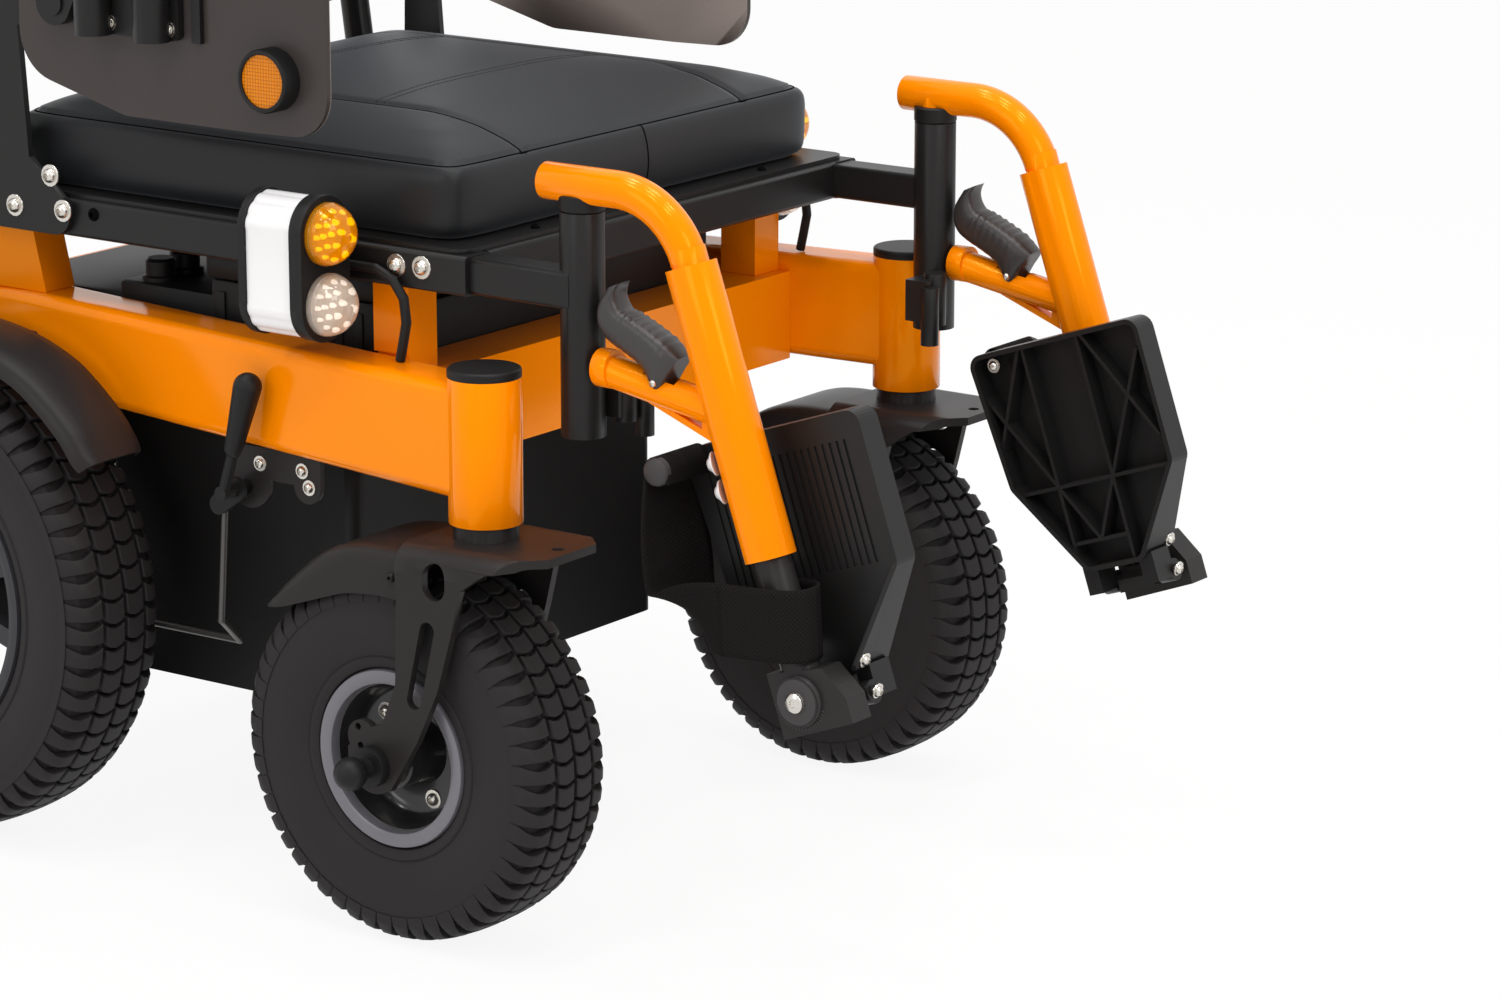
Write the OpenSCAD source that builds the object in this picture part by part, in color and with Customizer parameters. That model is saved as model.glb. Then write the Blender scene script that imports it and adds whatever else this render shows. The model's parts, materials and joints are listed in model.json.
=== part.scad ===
// All terrain powered wheelchair: a splayed box frame on two driven rear wheels
// and two swivelling casters, with a seat, swing-away legrests and flip-up arms.
// The chair faces -Y and +X is its left side. The origin is on the floor,
// under the middle of the chair. Every side piece is drawn for the left side.

/* [Rear wheels] */
// Outside radius of a rear tyre
rear_r = 180; // [176:1:182]
// Half the width of a rear tyre
rear_hw = 45; // [42:1:46]
// Radius of the rear rim under its tyre
rear_rim_r = 113; // [108:1:116]
// Distance of a rear wheel from the middle plane
rear_x = 260; // [260:1:264]
// Place of the rear axle along the chair
rear_y = 311; // [308:1:314]
// Number of spokes in a rear rim
spoke_count = 10; // [6:1:12]

/* [Casters] */
// Outside radius of a caster tyre
caster_r = 130; // [126:1:132]
// Half the width of a caster tyre
caster_hw = 42; // [38:1:43]
// Radius of the caster rim under its tyre
caster_rim_r = 62; // [58:1:66]
// Distance of the caster axle behind its swivel axis
trail = 56; // [50:1:58]
// Number of tread pitches round a tyre
tread_pitches = 28; // [20:1:30]

/* [Frame] */
// Distance of a head tube from the middle plane
head_x = 249; // [247:1:252]
// Place of the head tubes along the chair
head_y = -185; // [-190:1:-180]
// Sideways splay of the rails for each unit of length
splay = 0.13; // [0.12:0.005:0.14]
// Width of a rail
rail_w = 44; // [40:1:46]
// Height of the top of the rails
rail_top = 390; // [386:1:392]

/* [Seat] */
// Half the width over the seat rails
seat_hw = 228; // [226:1:230]
// Height of the underside of the seat rails
seat_z = 440; // [438:1:444]
// Section of a seat rail
seat_tube = 27; // [25:1:28]
// Height of the crown of the seat cushion over its edge
seat_crown = 23; // [18:1:26]

/* [Legrests] */
// Distance of a legrest post from the middle plane
post_x = 208.3; // [207:0.1:210]
// Place of the legrest posts along the chair
post_y = -236; // [-238:1:-234]
// Lean of a legrest from upright
leg_lean = 19; // [17:1:20]
// Radius of the bend at the top of a hanger
bend_r = 62; // [58:1:64]

/* [Arms and back] */
// Height of the top of an arm pad
arm_top = 746; // [740:1:760]
// Lean of the backrest from upright
back_lean = 8; // [6:1:10]
// Length of a back upright from its hinge to its bend
back_len = 500; // [460:1:520]

/* [Hidden] */
$fn = 48;

// The middle of the chair's length, which the floor origin stands under
middle_y = 9.3;

// Small distances between pieces
gap = 0.1;
run = 0.05;

// Colours of the finishes
orange = [1.0, 0.5, 0.03];
coat = [0.16, 0.15, 0.15];
black = [0.07, 0.07, 0.08];
rubber = [0.13, 0.13, 0.13];
steel = [0.75, 0.75, 0.76];
rim_grey = [0.36, 0.36, 0.4];
taupe = [0.36, 0.33, 0.31];
amber = [1.0, 0.62, 0.05];

// Rails and head tubes
head_z0 = 296;
head_z1 = 395;
head_r = 25;
stem_r = 15;
rail_half = rail_w / 2 * sqrt(1 + splay * splay);
rail_end_y = 390;
rail_low_front = 312;
rail_low_rear = 322;
rail_round = 9;
eye_y = 405;
eye_z = 356;
eye_r = 12;
eye_w = 8;
function rail_x(y) = head_x - splay * (y - head_y);
function rail_in(y) = rail_x(y + 1) - rail_half - gap;
function rail_out(y) = rail_x(y) + rail_half + gap;

// Caster forks
fork_top = 286;
fork_wall = 6;
fork_in = 48;
axle_y = head_y + trail;
axle_z = caster_r;
axle_r = 10;

// Seat and back
seat_top = seat_z + seat_tube;
plate_t = 3;
seat_front = -153;
seat_back = 300;
hinge_y = 292;
hinge_z = 500;
hinge_pin_r = 8;
eye_end = 212;
back_x = 198;
back_r = 11;
plate_x = seat_hw;
hinge_t = 5;

// Legrests
leg_x = 211;
leg_y = -413;
leg_z = 201;
tube_y = -9;
sleeve_z0 = 96;
sleeve_z1 = 292;
hanger_z = 523;
hanger_r = 12.5;
pivot_r = 10;
flip_x = -23;
flip_z = -5;
flip_r = 4;

// Arms
panel_x = 238;
panel_t = 4;
arm_y = 190;
arm_z = 610;
arm_pin_r = 9;

// Freewheel levers
lever_y = 37;
lever_z = 285;
lever_r = 5;
crank = 20;
crank_turn = 40;
rod_x = 242;
rod_wire = 2.5;

// Joystick pod on the right arm
pod_x = -258;
pod_y = -136;
pod_z = 716;
stick_z = pod_z + 16;

// Shared shapes

// Moves the whole chair so that the origin is under its middle
module placed() {
  translate([0, -middle_y, 0]) children();
}

module both() {
  children();
  mirror([1, 0, 0]) children();
}

// A flat outline in the YZ plane, thick from x0 to x1
module along_x(x0, x1) {
  translate([x0, 0, 0]) rotate([90, 0, 90]) linear_extrude(x1 - x0) children();
}

// A flat outline in the XZ plane, thick from y0 to y1
module along_y(y0, y1) {
  translate([0, y1, 0]) rotate([90, 0, 0]) linear_extrude(y1 - y0) children();
}

module rounded(w, h, r) {
  square([w - 2 * r, h], center = true);
  square([w, h - 2 * r], center = true);
  for (sx = [-1, 1], sy = [-1, 1]) translate([sx * (w / 2 - r), sy * (h / 2 - r)]) circle(r);
}

module stadium(w, h) {
  square([w, h - w], center = true);
  for (s = [-1, 1]) translate([0, s * (h - w) / 2]) circle(w / 2);
}

module pin_x(x0, x1, y, z, r) {
  translate([x0, y, z]) rotate([0, 90, 0]) cylinder(h = x1 - x0, r = r);
}

module pin_y(y0, y1, x, z, r) {
  translate([x, y0, z]) rotate([-90, 0, 0]) cylinder(h = y1 - y0, r = r);
}

module bar(a, b, r) {
  d = b - a;
  h = norm(d);
  translate(a) rotate([0, acos(d.z / h), atan2(d.y, d.x)]) cylinder(h = h, r = r);
}

// A round wire through a list of points, with ball corners
module wire(path, r) {
  for (i = [1 : len(path) - 1]) bar(path[i - 1], path[i], r);
  for (i = [1 : len(path) - 2]) translate(path[i]) sphere(r + 0.25);
}

// A solid of revolution about the X axis from an outline of radius and x
module turned() {
  rotate([0, 90, 0]) rotate_extrude() children();
}

// Closed skin over rings that each have the same number of points
function skin_faces(rings, n, closed) = [
  for (i = [0 : rings - (closed ? 1 : 2)], j = [0 : n - 1], half = [0, 1])
    let(i2 = (i + 1) % rings, j2 = (j + 1) % n)
    half == 0 ? [i * n + j, i2 * n + j, i2 * n + j2] : [i * n + j, i2 * n + j2, i * n + j2]];

// Tyre: each row is distance across, radius, tread column and groove depth
tread_steps = [0.02, 0.48, 0.52, 0.98];
function tyre_rows(r, w, rim, bead, depth) = [
  [-bead, rim + 0.15, -1, 0], [-w, (r + rim) / 2, -1, 0], [-0.93 * w, 0.915 * r, 0, 0.4 * depth],
  [-0.82 * w, 0.97 * r, 0, depth], [-0.42 * w, 0.995 * r, 0, depth], [-0.4 * w, 0.995 * r, 1, depth],
  [-0.03 * w, r, 1, depth], [0.03 * w, r, 0, depth], [0.4 * w, 0.995 * r, 0, depth],
  [0.42 * w, 0.995 * r, 1, depth], [0.82 * w, 0.97 * r, 1, depth], [0.93 * w, 0.915 * r, 1, 0.4 * depth],
  [w, (r + rim) / 2, -1, 0], [bead, rim + 0.15, -1, 0]];
function sunk(column, step) = column >= 0 && (step < 2) != (column == 0);
function skew(x, w) = 3 * (1 - abs(x) / w);

module tyre(r, w, rim, bead, depth) {
  rows = tyre_rows(r, w, rim, bead, depth);
  pitch = 360 / tread_pitches;
  points = [for (row = rows, k = [0 : tread_pitches - 1], s = [0 : 3])
    let(a = pitch * (k + tread_steps[s]) + (row[2] < 0 ? 0 : skew(row[0], w)),
        q = row[1] - (sunk(row[2], s) ? row[3] : 0))
    [row[0], q * cos(a), q * sin(a)]];
  rotate([-90 - pitch * tread_steps[0] - skew(0.03 * w, w), 0, 0])
    polyhedron(points, skin_faces(len(rows), 4 * tread_pitches, true), convexity = 8);
}

// Cushion: rings from the underside, up the drawn-in side and over the crown,
// which is flatter in its middle the larger its fullness is. Its corners are
// squarer the smaller the corner value is
pad_n = 48;
function pad_ring(a, b, inset, draw, p) = [for (j = [0 : pad_n - 1])
  let(t = 360 * j / pad_n, c = cos(t), s = sin(t),
      u = sign(c) * pow(abs(c), p), v = sign(s) * pow(abs(s), p),
      pull = 1 - draw * (1 - pow(abs(u * v), 2)))
  [(a - inset) * pull * u, (b - inset) * pull * v]];
// Each level is height share, inset in units of edge roundness and draw-in
pad_levels = [[0, 0.7, 0.006], [0.12, 0.1, 0.008], [0.45, 0, 0.016], [0.8, 0, 0.008], [0.94, 0.3, 0.006]];
pad_crowns = [1, 3, 6, 10, 14];
module pad(a, b, h, edge, crown, fullness = 2, corner = 0.28) {
  sides = [for (l = pad_levels)
    [for (q = pad_ring(a, b, edge * l[1], l[2], corner)) [q.x, q.y, h * l[0]]]];
  tops = [for (k = pad_crowns) let(f = k / 15)
    [for (q = pad_ring(a, b, edge, 0.006, corner))
      [q.x * (1 - f), q.y * (1 - f), h + crown * (1 - pow(1 - f, fullness))]]];
  points = [for (ring = concat(sides, tops), q = ring) q];
  rings = len(sides) + len(tops);
  base = [for (j = [1 : pad_n - 2]) [0, j, j + 1]];
  last = (rings - 1) * pad_n;
  lid = [for (j = [1 : pad_n - 2]) [last, last + j + 1, last + j]];
  polyhedron(points, [for (f = concat(skin_faces(rings, pad_n, false), base, lid)) [f[0], f[1], f[2]]]);
}

// Frame

module rail_slice(y, low) {
  translate([rail_x(y), y, (rail_top + low) / 2])
    rotate([90, 0, 0]) linear_extrude(1) rounded(2 * rail_half, rail_top - low, rail_round, $fn = 32);
}

module rail() {
  color(orange) difference() {
    union() {
      hull() {
        rail_slice(head_y + 1, rail_low_front);
        rail_slice(rail_end_y, rail_low_rear);
      }
      translate([head_x, head_y, head_z0]) cylinder(h = head_z1 - head_z0, r = head_r);
      along_x(rail_x(eye_y) - eye_w / 2, rail_x(eye_y) + eye_w / 2) {
        translate([eye_y, eye_z]) circle(20);
        translate([eye_y - 30, eye_z - 20]) square([30, 40]);
      }
    }
    translate([head_x, head_y, head_z0 - 1]) cylinder(h = head_z1 - head_z0 + 2, r = stem_r + run);
    pin_x(100, 250, eye_y, eye_z, eye_r);
  }
}

// A box beam between the rails, its ends cut to their splay
module cross_beam(y0, y1, z0, z1) {
  translate([0, 0, z0]) linear_extrude(z1 - z0)
    polygon([[-rail_in(y0), y0], [rail_in(y0), y0], [rail_in(y1), y1], [-rail_in(y1), y1]]);
}

beam_top = 378;
mid_beam_z = 320;

// A seat post that stands on the front beam, its foot cut back beside the rail
post_in = 185;
post_out = 215;
post_y0 = -93;
post_y1 = -62;
module front_post() {
  translate([post_in, post_y0, rail_top + gap])
    cube([post_out - post_in, post_y1 - post_y0, seat_z - rail_top - 2 * gap]);
  translate([0, 0, beam_top + gap]) linear_extrude(rail_top - beam_top)
    polygon([[post_in, post_y0], [rail_in(post_y0), post_y0], [rail_in(post_y1), post_y1],
      [post_in, post_y1]]);
}

module cross_frame() {
  color(orange) {
    cross_beam(-103, -57, 312, beam_top);
    cross_beam(95, 135, mid_beam_z, 348);
    cross_beam(360, 386, 330, 372);
    both() {
      front_post();
      along_x(176, 206) polygon([[250, rail_top + gap], [330, rail_top + gap], [300, seat_z - gap],
        [262, seat_z - gap]]);
    }
  }
}

module head_cap() {
  translate([head_x, head_y, head_z1 + gap]) {
    rotate_extrude() {
      square([head_r, 4]);
      translate([0, 4]) square([head_r - 2, 2]);
      translate([head_r - 2, 4]) circle(2);
    }
    translate([0, 0, -6]) cylinder(h = 6, r = stem_r - gap);
  }
}
module head_caps() {
  color(black) both() head_cap();
}

// Seat

module seat_rail() {
  along_y(seat_front, seat_back)
    translate([seat_hw - seat_tube / 2, seat_z + seat_tube / 2]) rounded(seat_tube, seat_tube, 3);
}

module seat_cross(y) {
  inner = seat_hw - seat_tube - gap;
  translate([-inner, 0, 0]) along_x(0, 2 * inner)
    translate([y, seat_z + seat_tube / 2]) rounded(seat_tube, seat_tube, 3);
}

module seat_frame() {
  color(black) {
    both() seat_rail();
    seat_cross(seat_front + seat_tube / 2);
    seat_cross(seat_back - seat_tube / 2);
    translate([0, (seat_front + seat_back) / 2, seat_top + gap]) linear_extrude(plate_t)
      rounded(2 * seat_hw - 10, seat_back - seat_front - 10, 12);
  }
}

cushion_y = 72;
cushion_h = 52;
cushion_z = seat_top + plate_t + 2 * gap;
module seat_cushion() {
  color(black) translate([0, cushion_y, cushion_z]) pad(211, 203, cushion_h, 7, seat_crown, 4, 0.09);
}

// Hinge plates: bolted to the seat rails, they carry the arms and the back

module hinge_plate() {
  along_x(plate_x, plate_x + hinge_t) {
    hull() {
      translate([214, 456]) circle(15);
      translate([304, 456]) circle(15);
      translate([250, 490]) circle(12);
      translate([hinge_y + 2, hinge_z]) circle(18);
    }
    hull() {
      translate([255, 480]) circle(20);
      translate([258, 600]) circle(14);
    }
    hull() {
      translate([258, 600]) circle(14);
      translate([arm_y, arm_z]) circle(18);
    }
  }
  pin_x(back_x + 3, plate_x, hinge_y, hinge_z, hinge_pin_r);
  pin_x(eye_end + 0.4, plate_x, hinge_y, hinge_z, 12);
  pin_x(plate_x, panel_x + panel_t + 12, arm_y, arm_z, arm_pin_r);
}
module hinge_plates() {
  color(black) both() hinge_plate();
}

// Legrest mounts: arm from the seat rail, upright post and latch barrels

module legrest_mount() {
  difference() {
    union() {
      along_y(post_y, seat_front - gap)
        translate([post_x + 3, seat_z + seat_tube / 2]) rounded(25, 25, 3);
      translate([post_x, post_y, 354]) cylinder(h = 151, r = 15);
      translate([post_x - 24, post_y - 17, 362]) cylinder(h = 38, r = 8);
      translate([post_x - 38, post_y - 22, 350]) cylinder(h = 42, r = 6.5);
      translate([post_x - 40, post_y - 20, 366]) cube([28, 18, 30]);
    }
    translate([post_x, post_y, 400]) cylinder(h = 120, r = pivot_r + run);
  }
}
module legrest_mounts() {
  color(black) both() legrest_mount();
}

// Battery box, batteries and drives

box_hw = 173;
box_y0 = -7;
box_y1 = 225;
box_z0 = 113;
box_z1 = 300;
box_wall = 4;
box_y = (box_y0 + box_y1) / 2;
box_l = box_y1 - box_y0;
module battery_box() {
  color(black) {
    difference() {
      translate([0, box_y, box_z0]) linear_extrude(box_z1 - box_z0) rounded(2 * box_hw, box_l, 10);
      translate([0, box_y, box_z0 + box_wall]) linear_extrude(box_z1)
        rounded(2 * (box_hw - box_wall), box_l - 2 * box_wall, 6);
    }
    translate([0, box_y, box_z1 + gap]) linear_extrude(6) rounded(2 * box_hw + 4, box_l + 4, 12);
    translate([0, 115, box_z1 + 5]) linear_extrude(mid_beam_z - gap - box_z1 - 5) rounded(120, 36, 4);
  }
}

battery_w = 166;
module batteries() {
  color([0.2, 0.2, 0.22]) both() {
    translate([1.5, box_y0 + 8, box_z0 + box_wall + gap]) {
      cube([battery_w, 216, 168]);
      for (y = [30, 186]) translate([140, y, 168]) cylinder(h = 9, r = 8);
    }
  }
}

gear_x0 = 140;
gear_x1 = 204;
shaft_r = 12;
hung_z = 319.7;
module drive_motors() {
  color([0.2, 0.2, 0.21]) both() difference() {
    union() {
      pin_x(gear_x0, gear_x1, rear_y, rear_r, 52);
      pin_x(26, gear_x0 + 1, rear_y, rear_r, 41);
      pin_x(18, 27, rear_y, rear_r, 34);
      for (x = [48 : 14 : 132]) pin_x(x, x + 5, rear_y, rear_r, 44);
      along_x(170, 198) polygon([[rear_y - 40, hung_z], [rear_y + 40, hung_z], [rear_y + 32, rear_r],
        [rear_y - 32, rear_r]]);
    }
    pin_x(gear_x0 + 20, gear_x1 + 1, rear_y, rear_r, shaft_r + run);
  }
}

// Rear wheels

rear_bead = 36;
module rear_tyre() {
  color(rubber) translate([rear_x, rear_y, rear_r]) tyre(rear_r, rear_hw, rear_rim_r, rear_bead, 7);
}

module rear_rim() {
  color(rim_grey) translate([rear_x, rear_y, rear_r]) {
    turned() {
      translate([rear_rim_r - 6, -rear_bead]) square([6, 2 * rear_bead]);
      for (s = [-1, 1]) translate([rear_rim_r - 9, s * rear_bead - 4]) square([8, 8]);
      translate([rear_rim_r - 16, 2]) square([12, 10]);
      translate([0, -20]) square([34, 46]);
      translate([0, 26]) square([20, 8]);
      translate([0, -96]) square([shaft_r, 80]);
    }
    for (k = [0 : spoke_count - 1]) rotate([360 * k / spoke_count, 0, 0])
      translate([4, -7, 30]) cube([15, 14, rear_rim_r - 40]);
  }
}

// Rear fenders: a roof that follows the tyre, with a drooping nose and a skirt

fender_r = 238;
nose_r = 135;
nose_y = 199;
nose_z = 257;
fender_x0 = 241;
fender_x1 = 302;
fender_t = 4;
module fender_outline(t) {
  translate([rear_y, rear_r]) circle(fender_r - t, $fn = 96);
  translate([nose_y, nose_z]) circle(nose_r - t, $fn = 96);
}

module rear_fender() {
  difference() {
    union() {
      along_x(fender_x0, fender_x1) difference() {
        fender_outline(0);
        fender_outline(fender_t);
        translate([rear_y, rear_r]) circle(fender_r - 12, $fn = 96);
      }
      along_x(fender_x1 - fender_t, fender_x1) difference() {
        fender_outline(0);
        translate([rear_y, rear_r]) circle(fender_r - 12, $fn = 96);
      }
      along_x(fender_x0, fender_x0 + 5) translate([240, 366]) square([40, 45]);
    }
    translate([0, -200, -100]) cube([400, 1000, 405]);
    translate([0, 470, 0]) cube([400, 300, 600]);
  }
  translate([0, 0, 366]) linear_extrude(20)
    polygon([[rail_out(245), 245], [fender_x0, 245], [fender_x0, 275], [rail_out(275), 275]]);
}
module rear_fenders() {
  color(coat) both() rear_fender();
}

// Lamps

lamp_x = 262;
lamp_y0 = -61;
lamp_y1 = -5;
lamp_z = 454;
lamp_w = 46;
lamp_h = 96;
front_gasket = 11;
rear_gasket = 6;
lens_r = 21.5;
lens_z = 24;
module lamp_slice(y0, y1, grow) {
  along_y(y0, y1) translate([lamp_x, lamp_z]) stadium(lamp_w + 2 * grow, lamp_h + 2 * grow);
}

// The shell has round flutes along both of its ends
module lamp_housings() {
  y0 = lamp_y0 + front_gasket;
  y1 = lamp_y1 - rear_gasket;
  color([0.93, 0.93, 0.94]) both() {
    lamp_slice(y0, y1, 0);
    along_y(y0, y1) translate([lamp_x, lamp_z]) for (s = [-1, 1], a = [0 : 30 : 180])
      translate([0, s * (lamp_h - lamp_w) / 2]) rotate(s * a) translate([lamp_w / 2 - 1.6, 0])
        circle(2.5, $fn = 16);
  }
}

module lens(z) {
  translate([lamp_x, lamp_y0 - gap, lamp_z + z]) rotate([90, 0, 0]) {
    cylinder(h = 4, r = lens_r);
    translate([0, 0, 4]) intersection() {
      translate([0, 0, -3.8]) sphere(21.6);
      cylinder(h = 20, r = lens_r);
    }
  }
}
module lamp_lenses_amber() {
  color(amber) both() lens(lens_z);
}
module lamp_lenses_clear() {
  color([0.9, 0.9, 0.92]) both() lens(-lens_z);
}

cable_r = 3.5;
cable_route = [[233, -48, 452], [233, -66, 452], [233, -80, 452], [233, -95, 446], [233, -104, 434],
  [233, -106, 418], [233, -103, 404], [233, -100, 391]];
function ring_frame(path, i) =
  let(a = path[max(i - 1, 0)], b = path[min(i + 1, len(path) - 1)]) (b - a) / norm(b - a);
module cable(path, r, n) {
  side = [1, 0, 0];
  points = [for (i = [0 : len(path) - 1]) let(up = cross(ring_frame(path, i), side))
    for (j = [0 : n - 1]) path[i] + r * (cos(360 * j / n) * side + sin(360 * j / n) * up)];
  last = (len(path) - 1) * n;
  polyhedron(points, concat(skin_faces(len(path), n, false), [[for (j = [0 : n - 1]) j]],
    [[for (j = [n - 1 : -1 : 0]) last + j]]));
}

module lamp_mounts() {
  color(black) both() {
    lamp_slice(lamp_y0, lamp_y0 + front_gasket - gap, 2);
    lamp_slice(lamp_y1 - rear_gasket + gap, lamp_y1, 2);
    translate([seat_hw + gap, lamp_y0 + 11, seat_z + 2])
      cube([lamp_x - lamp_w / 2 - seat_hw - 1.5, 36, 22]);
    cable(cable_route, cable_r, 8);
  }
}

// Freewheel levers, their brackets under the rails and their wires

bracket_top = 314.5;
module freewheel_brackets() {
  color([0.3, 0.3, 0.31]) both() {
    difference() {
      along_x(rod_x - 10, rod_x - 6) {
        translate([-30, 292]) square([70, bracket_top - 292]);
        translate([lever_y - 2, lever_z + 5]) circle(20);
        translate([-18, 292]) circle(12);
      }
      pin_x(200, 260, lever_y, lever_z, lever_r + run);
    }
    translate([rod_x - 30, -30, bracket_top - 3]) cube([24, 70, 3]);
  }
}

function crank_point() = [lever_y + crank * cos(crank_turn), lever_z - crank * sin(crank_turn)];
module freewheel_lever() {
  q = crank_point();
  tip = [rod_x + 18, lever_y - 24, lever_z + 78];
  foot = [rod_x + 18, lever_y, lever_z];
  color(black) {
    pin_x(rod_x - 18, rod_x + 22, lever_y, lever_z, lever_r);
    along_x(rod_x + 4, rod_x + 8) hull() {
      translate([lever_y, lever_z]) circle(9);
      translate(q) circle(7);
    }
    pin_x(rod_x - 4, rod_x + 5, q.x, q.y, 3);
    bar(foot, tip, 4);
    hull() {
      translate(foot + (tip - foot) * 0.42) sphere(6.5, $fn = 24);
      translate(tip) sphere(10, $fn = 24);
    }
  }
}

module freewheel_rod() {
  q = crank_point();
  color(steel) difference() {
    union() {
      pin_x(rod_x - 3, rod_x + 3, q.x, q.y, 6);
      wire([[rod_x, q.x, q.y - 5], [rod_x - 2, 60, 186], [rod_x - 34, 72, 162],
        [rod_x - 37, 240, 160]], rod_wire);
    }
    pin_x(rod_x - 10, rod_x + 10, q.x, q.y, 3 + run);
  }
}

// Caster forks

module fork_inside(clear) {
  side = fork_in - clear;
  top = fork_top - fork_wall - clear;
  difference() {
    translate([-side, 0]) square([2 * side, top]);
    for (s = [-1, 1]) translate([s * side, top]) difference() {
      square(28, center = true);
      translate([-s * 14, -14]) circle(14);
    }
  }
}

module fork_arch() {
  h = fork_top;
  difference() {
    translate([-fork_in - fork_wall, 60]) square([2 * (fork_in + fork_wall), h - 60]);
    fork_inside(0);
    for (s = [-1, 1]) translate([s * (fork_in + fork_wall), h]) difference() {
      square(36, center = true);
      translate([-s * 18, -18]) circle(18);
    }
  }
}

// Side outline of a leg, from the swivel axis back to the axle
module fork_leg() {
  polygon([[-72, fork_top], [36, fork_top], [34, 248], [36, 190], [48, 160], [62, 155], [78, 140],
    [78, 122], [58, 110], [42, 114], [18, 152], [0, 190], [-12, 230], [-20, 262], [-40, 276],
    [-72, 280]]);
  translate([trail, axle_z]) circle(20);
  translate([trail + 10, axle_z + 18]) circle(12);
}

module fork_holes() {
  translate([2, 265]) stadium(19, 25);
  hull() {
    translate([8, 231]) circle(6);
    translate([20, 181]) circle(6);
  }
  for (p = [[13, 25], [11, 12]]) translate([trail + p.x, axle_z + p.y]) circle(2.5);
}

module fork() {
  color(coat) translate([head_x, head_y, 0]) difference() {
    union() {
      intersection() {
        along_y(-80, 100) fork_arch();
        along_x(-60, 60) fork_leg();
      }
      translate([0, 0, fork_top - 1]) cylinder(h = head_z0 - fork_top + 1 - 0.3, r = 22);
      translate([0, 0, fork_top - 1]) cylinder(h = head_z1 - fork_top - 9, r = stem_r);
    }
    along_x(-60, 60) fork_holes();
    pin_x(-60, 60, trail, axle_z, axle_r + run);
    translate([0, -60, fork_top - 20]) cylinder(h = 30, r = 4);
    for (s = [-1, 1]) translate([s * 54, -72, fork_top - 30])
      rotate([0, 0, 45]) cube([40, 40, 80], center = true);
  }
}

module caster_fender() {
  side = fork_in - 0.2;
  color(coat) translate([head_x, axle_y, axle_z]) intersection() {
    union() {
      along_x(-side, side) difference() {
        circle(149, $fn = 96);
        circle(146, $fn = 96);
      }
      for (s = [-1, 1]) along_x(s * (side - 1.25) - 1.25, s * (side - 1.25) + 1.25) difference() {
        circle(149, $fn = 96);
        circle(117, $fn = 96);
      }
    }
    along_x(-60, 60) polygon([[-24, 90], [-24, 200], [130, 200], [100, 95], [86, 84]]);
    translate([0, 0, -axle_z]) along_y(-60, 160) fork_inside(0.2);
  }
}

module caster_axle() {
  color(steel) translate([head_x, axle_y, axle_z]) {
    side = fork_in + fork_wall;
    pin_x(-side - 6, side + 1, 0, 0, axle_r);
    for (s = [-1, 1]) translate([s * (side + 4 + gap), 0, 0]) pin_x(-4, 4, 0, 0, 14);
    pin_x(side + 8, side + 24, 0, 0, 7);
    translate([side + 24, 0, 0]) sphere(11.5);
  }
}

caster_bead = 33;
module caster_tyre() {
  color(rubber) translate([head_x, axle_y, axle_z])
    tyre(caster_r, caster_hw, caster_rim_r, caster_bead, 6);
}

module caster_rim() {
  color(rim_grey) translate([head_x, axle_y, axle_z]) difference() {
    turned() {
      translate([caster_rim_r - 5, -caster_bead]) square([5, 2 * caster_bead]);
      for (s = [-1, 1]) translate([caster_rim_r - 9, s * caster_bead - 3.5]) square([8, 7]);
      translate([18, -4]) square([caster_rim_r - 20, 8]);
      translate([axle_r + run, -38]) square([10, 76]);
      for (s = [-1, 1]) translate([axle_r + run, s * 40 - 3]) square([6, 6]);
    }
    for (k = [0 : 4]) rotate([72 * k, 0, 0]) pin_x(-20, 20, 0, 38, 8);
  }
}

// Legrests

// Places its children in the frame of a legrest: along the leg is +Z
module leg_frame() {
  translate([leg_x, leg_y, leg_z]) rotate([-leg_lean, 0, 0]) children();
}

module sleeve_outline(grow) {
  stadium(22 + 2 * grow, 28 + 2 * grow);
}

bend_turn = 90 - leg_lean;
bend_y = -267;
module hanger() {
  color(orange) {
    difference() {
      union() {
        pin_y(bend_y, post_y + 27, leg_x, hanger_z, hanger_r);
        translate([leg_x, bend_y, hanger_z - bend_r]) rotate([0, -90, 0])
          rotate_extrude(angle = -bend_turn) translate([bend_r, 0]) circle(hanger_r);
        leg_frame() {
          translate([0, tube_y, sleeve_z0]) linear_extrude(sleeve_z1 - sleeve_z0) sleeve_outline(4);
          translate([0, tube_y, sleeve_z1 - 1]) cylinder(h = 12, r = hanger_r);
        }
        bar([leg_x, post_y - 24, 402], [leg_x, -352, 386], 11);
        translate([leg_x, post_y - 17, 403]) rotate([90, 0, 0]) cylinder(h = 12, r = 13);
        along_x(leg_x - 4, leg_x + 4) difference() {
          polygon([[-280, 391], [-346, 366], [-346, 382]]);
          polygon([[-312, 383], [-338, 373.5], [-338, 380]]);
        }
      }
      leg_frame() translate([0, tube_y, sleeve_z0 - 1]) linear_extrude(170) sleeve_outline(0);
      pin_x(leg_x - 30, leg_x + 30, -305, 401, 4 + run);
      along_x(leg_x - 7, leg_x + 7) translate([-305, 404]) circle(13);
    }
    translate([post_x, post_y, 445]) cylinder(h = hanger_z - 445, r = pivot_r);
    translate([post_x, post_y, 505.3]) cylinder(h = 10, r = 14);
  }
}

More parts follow.
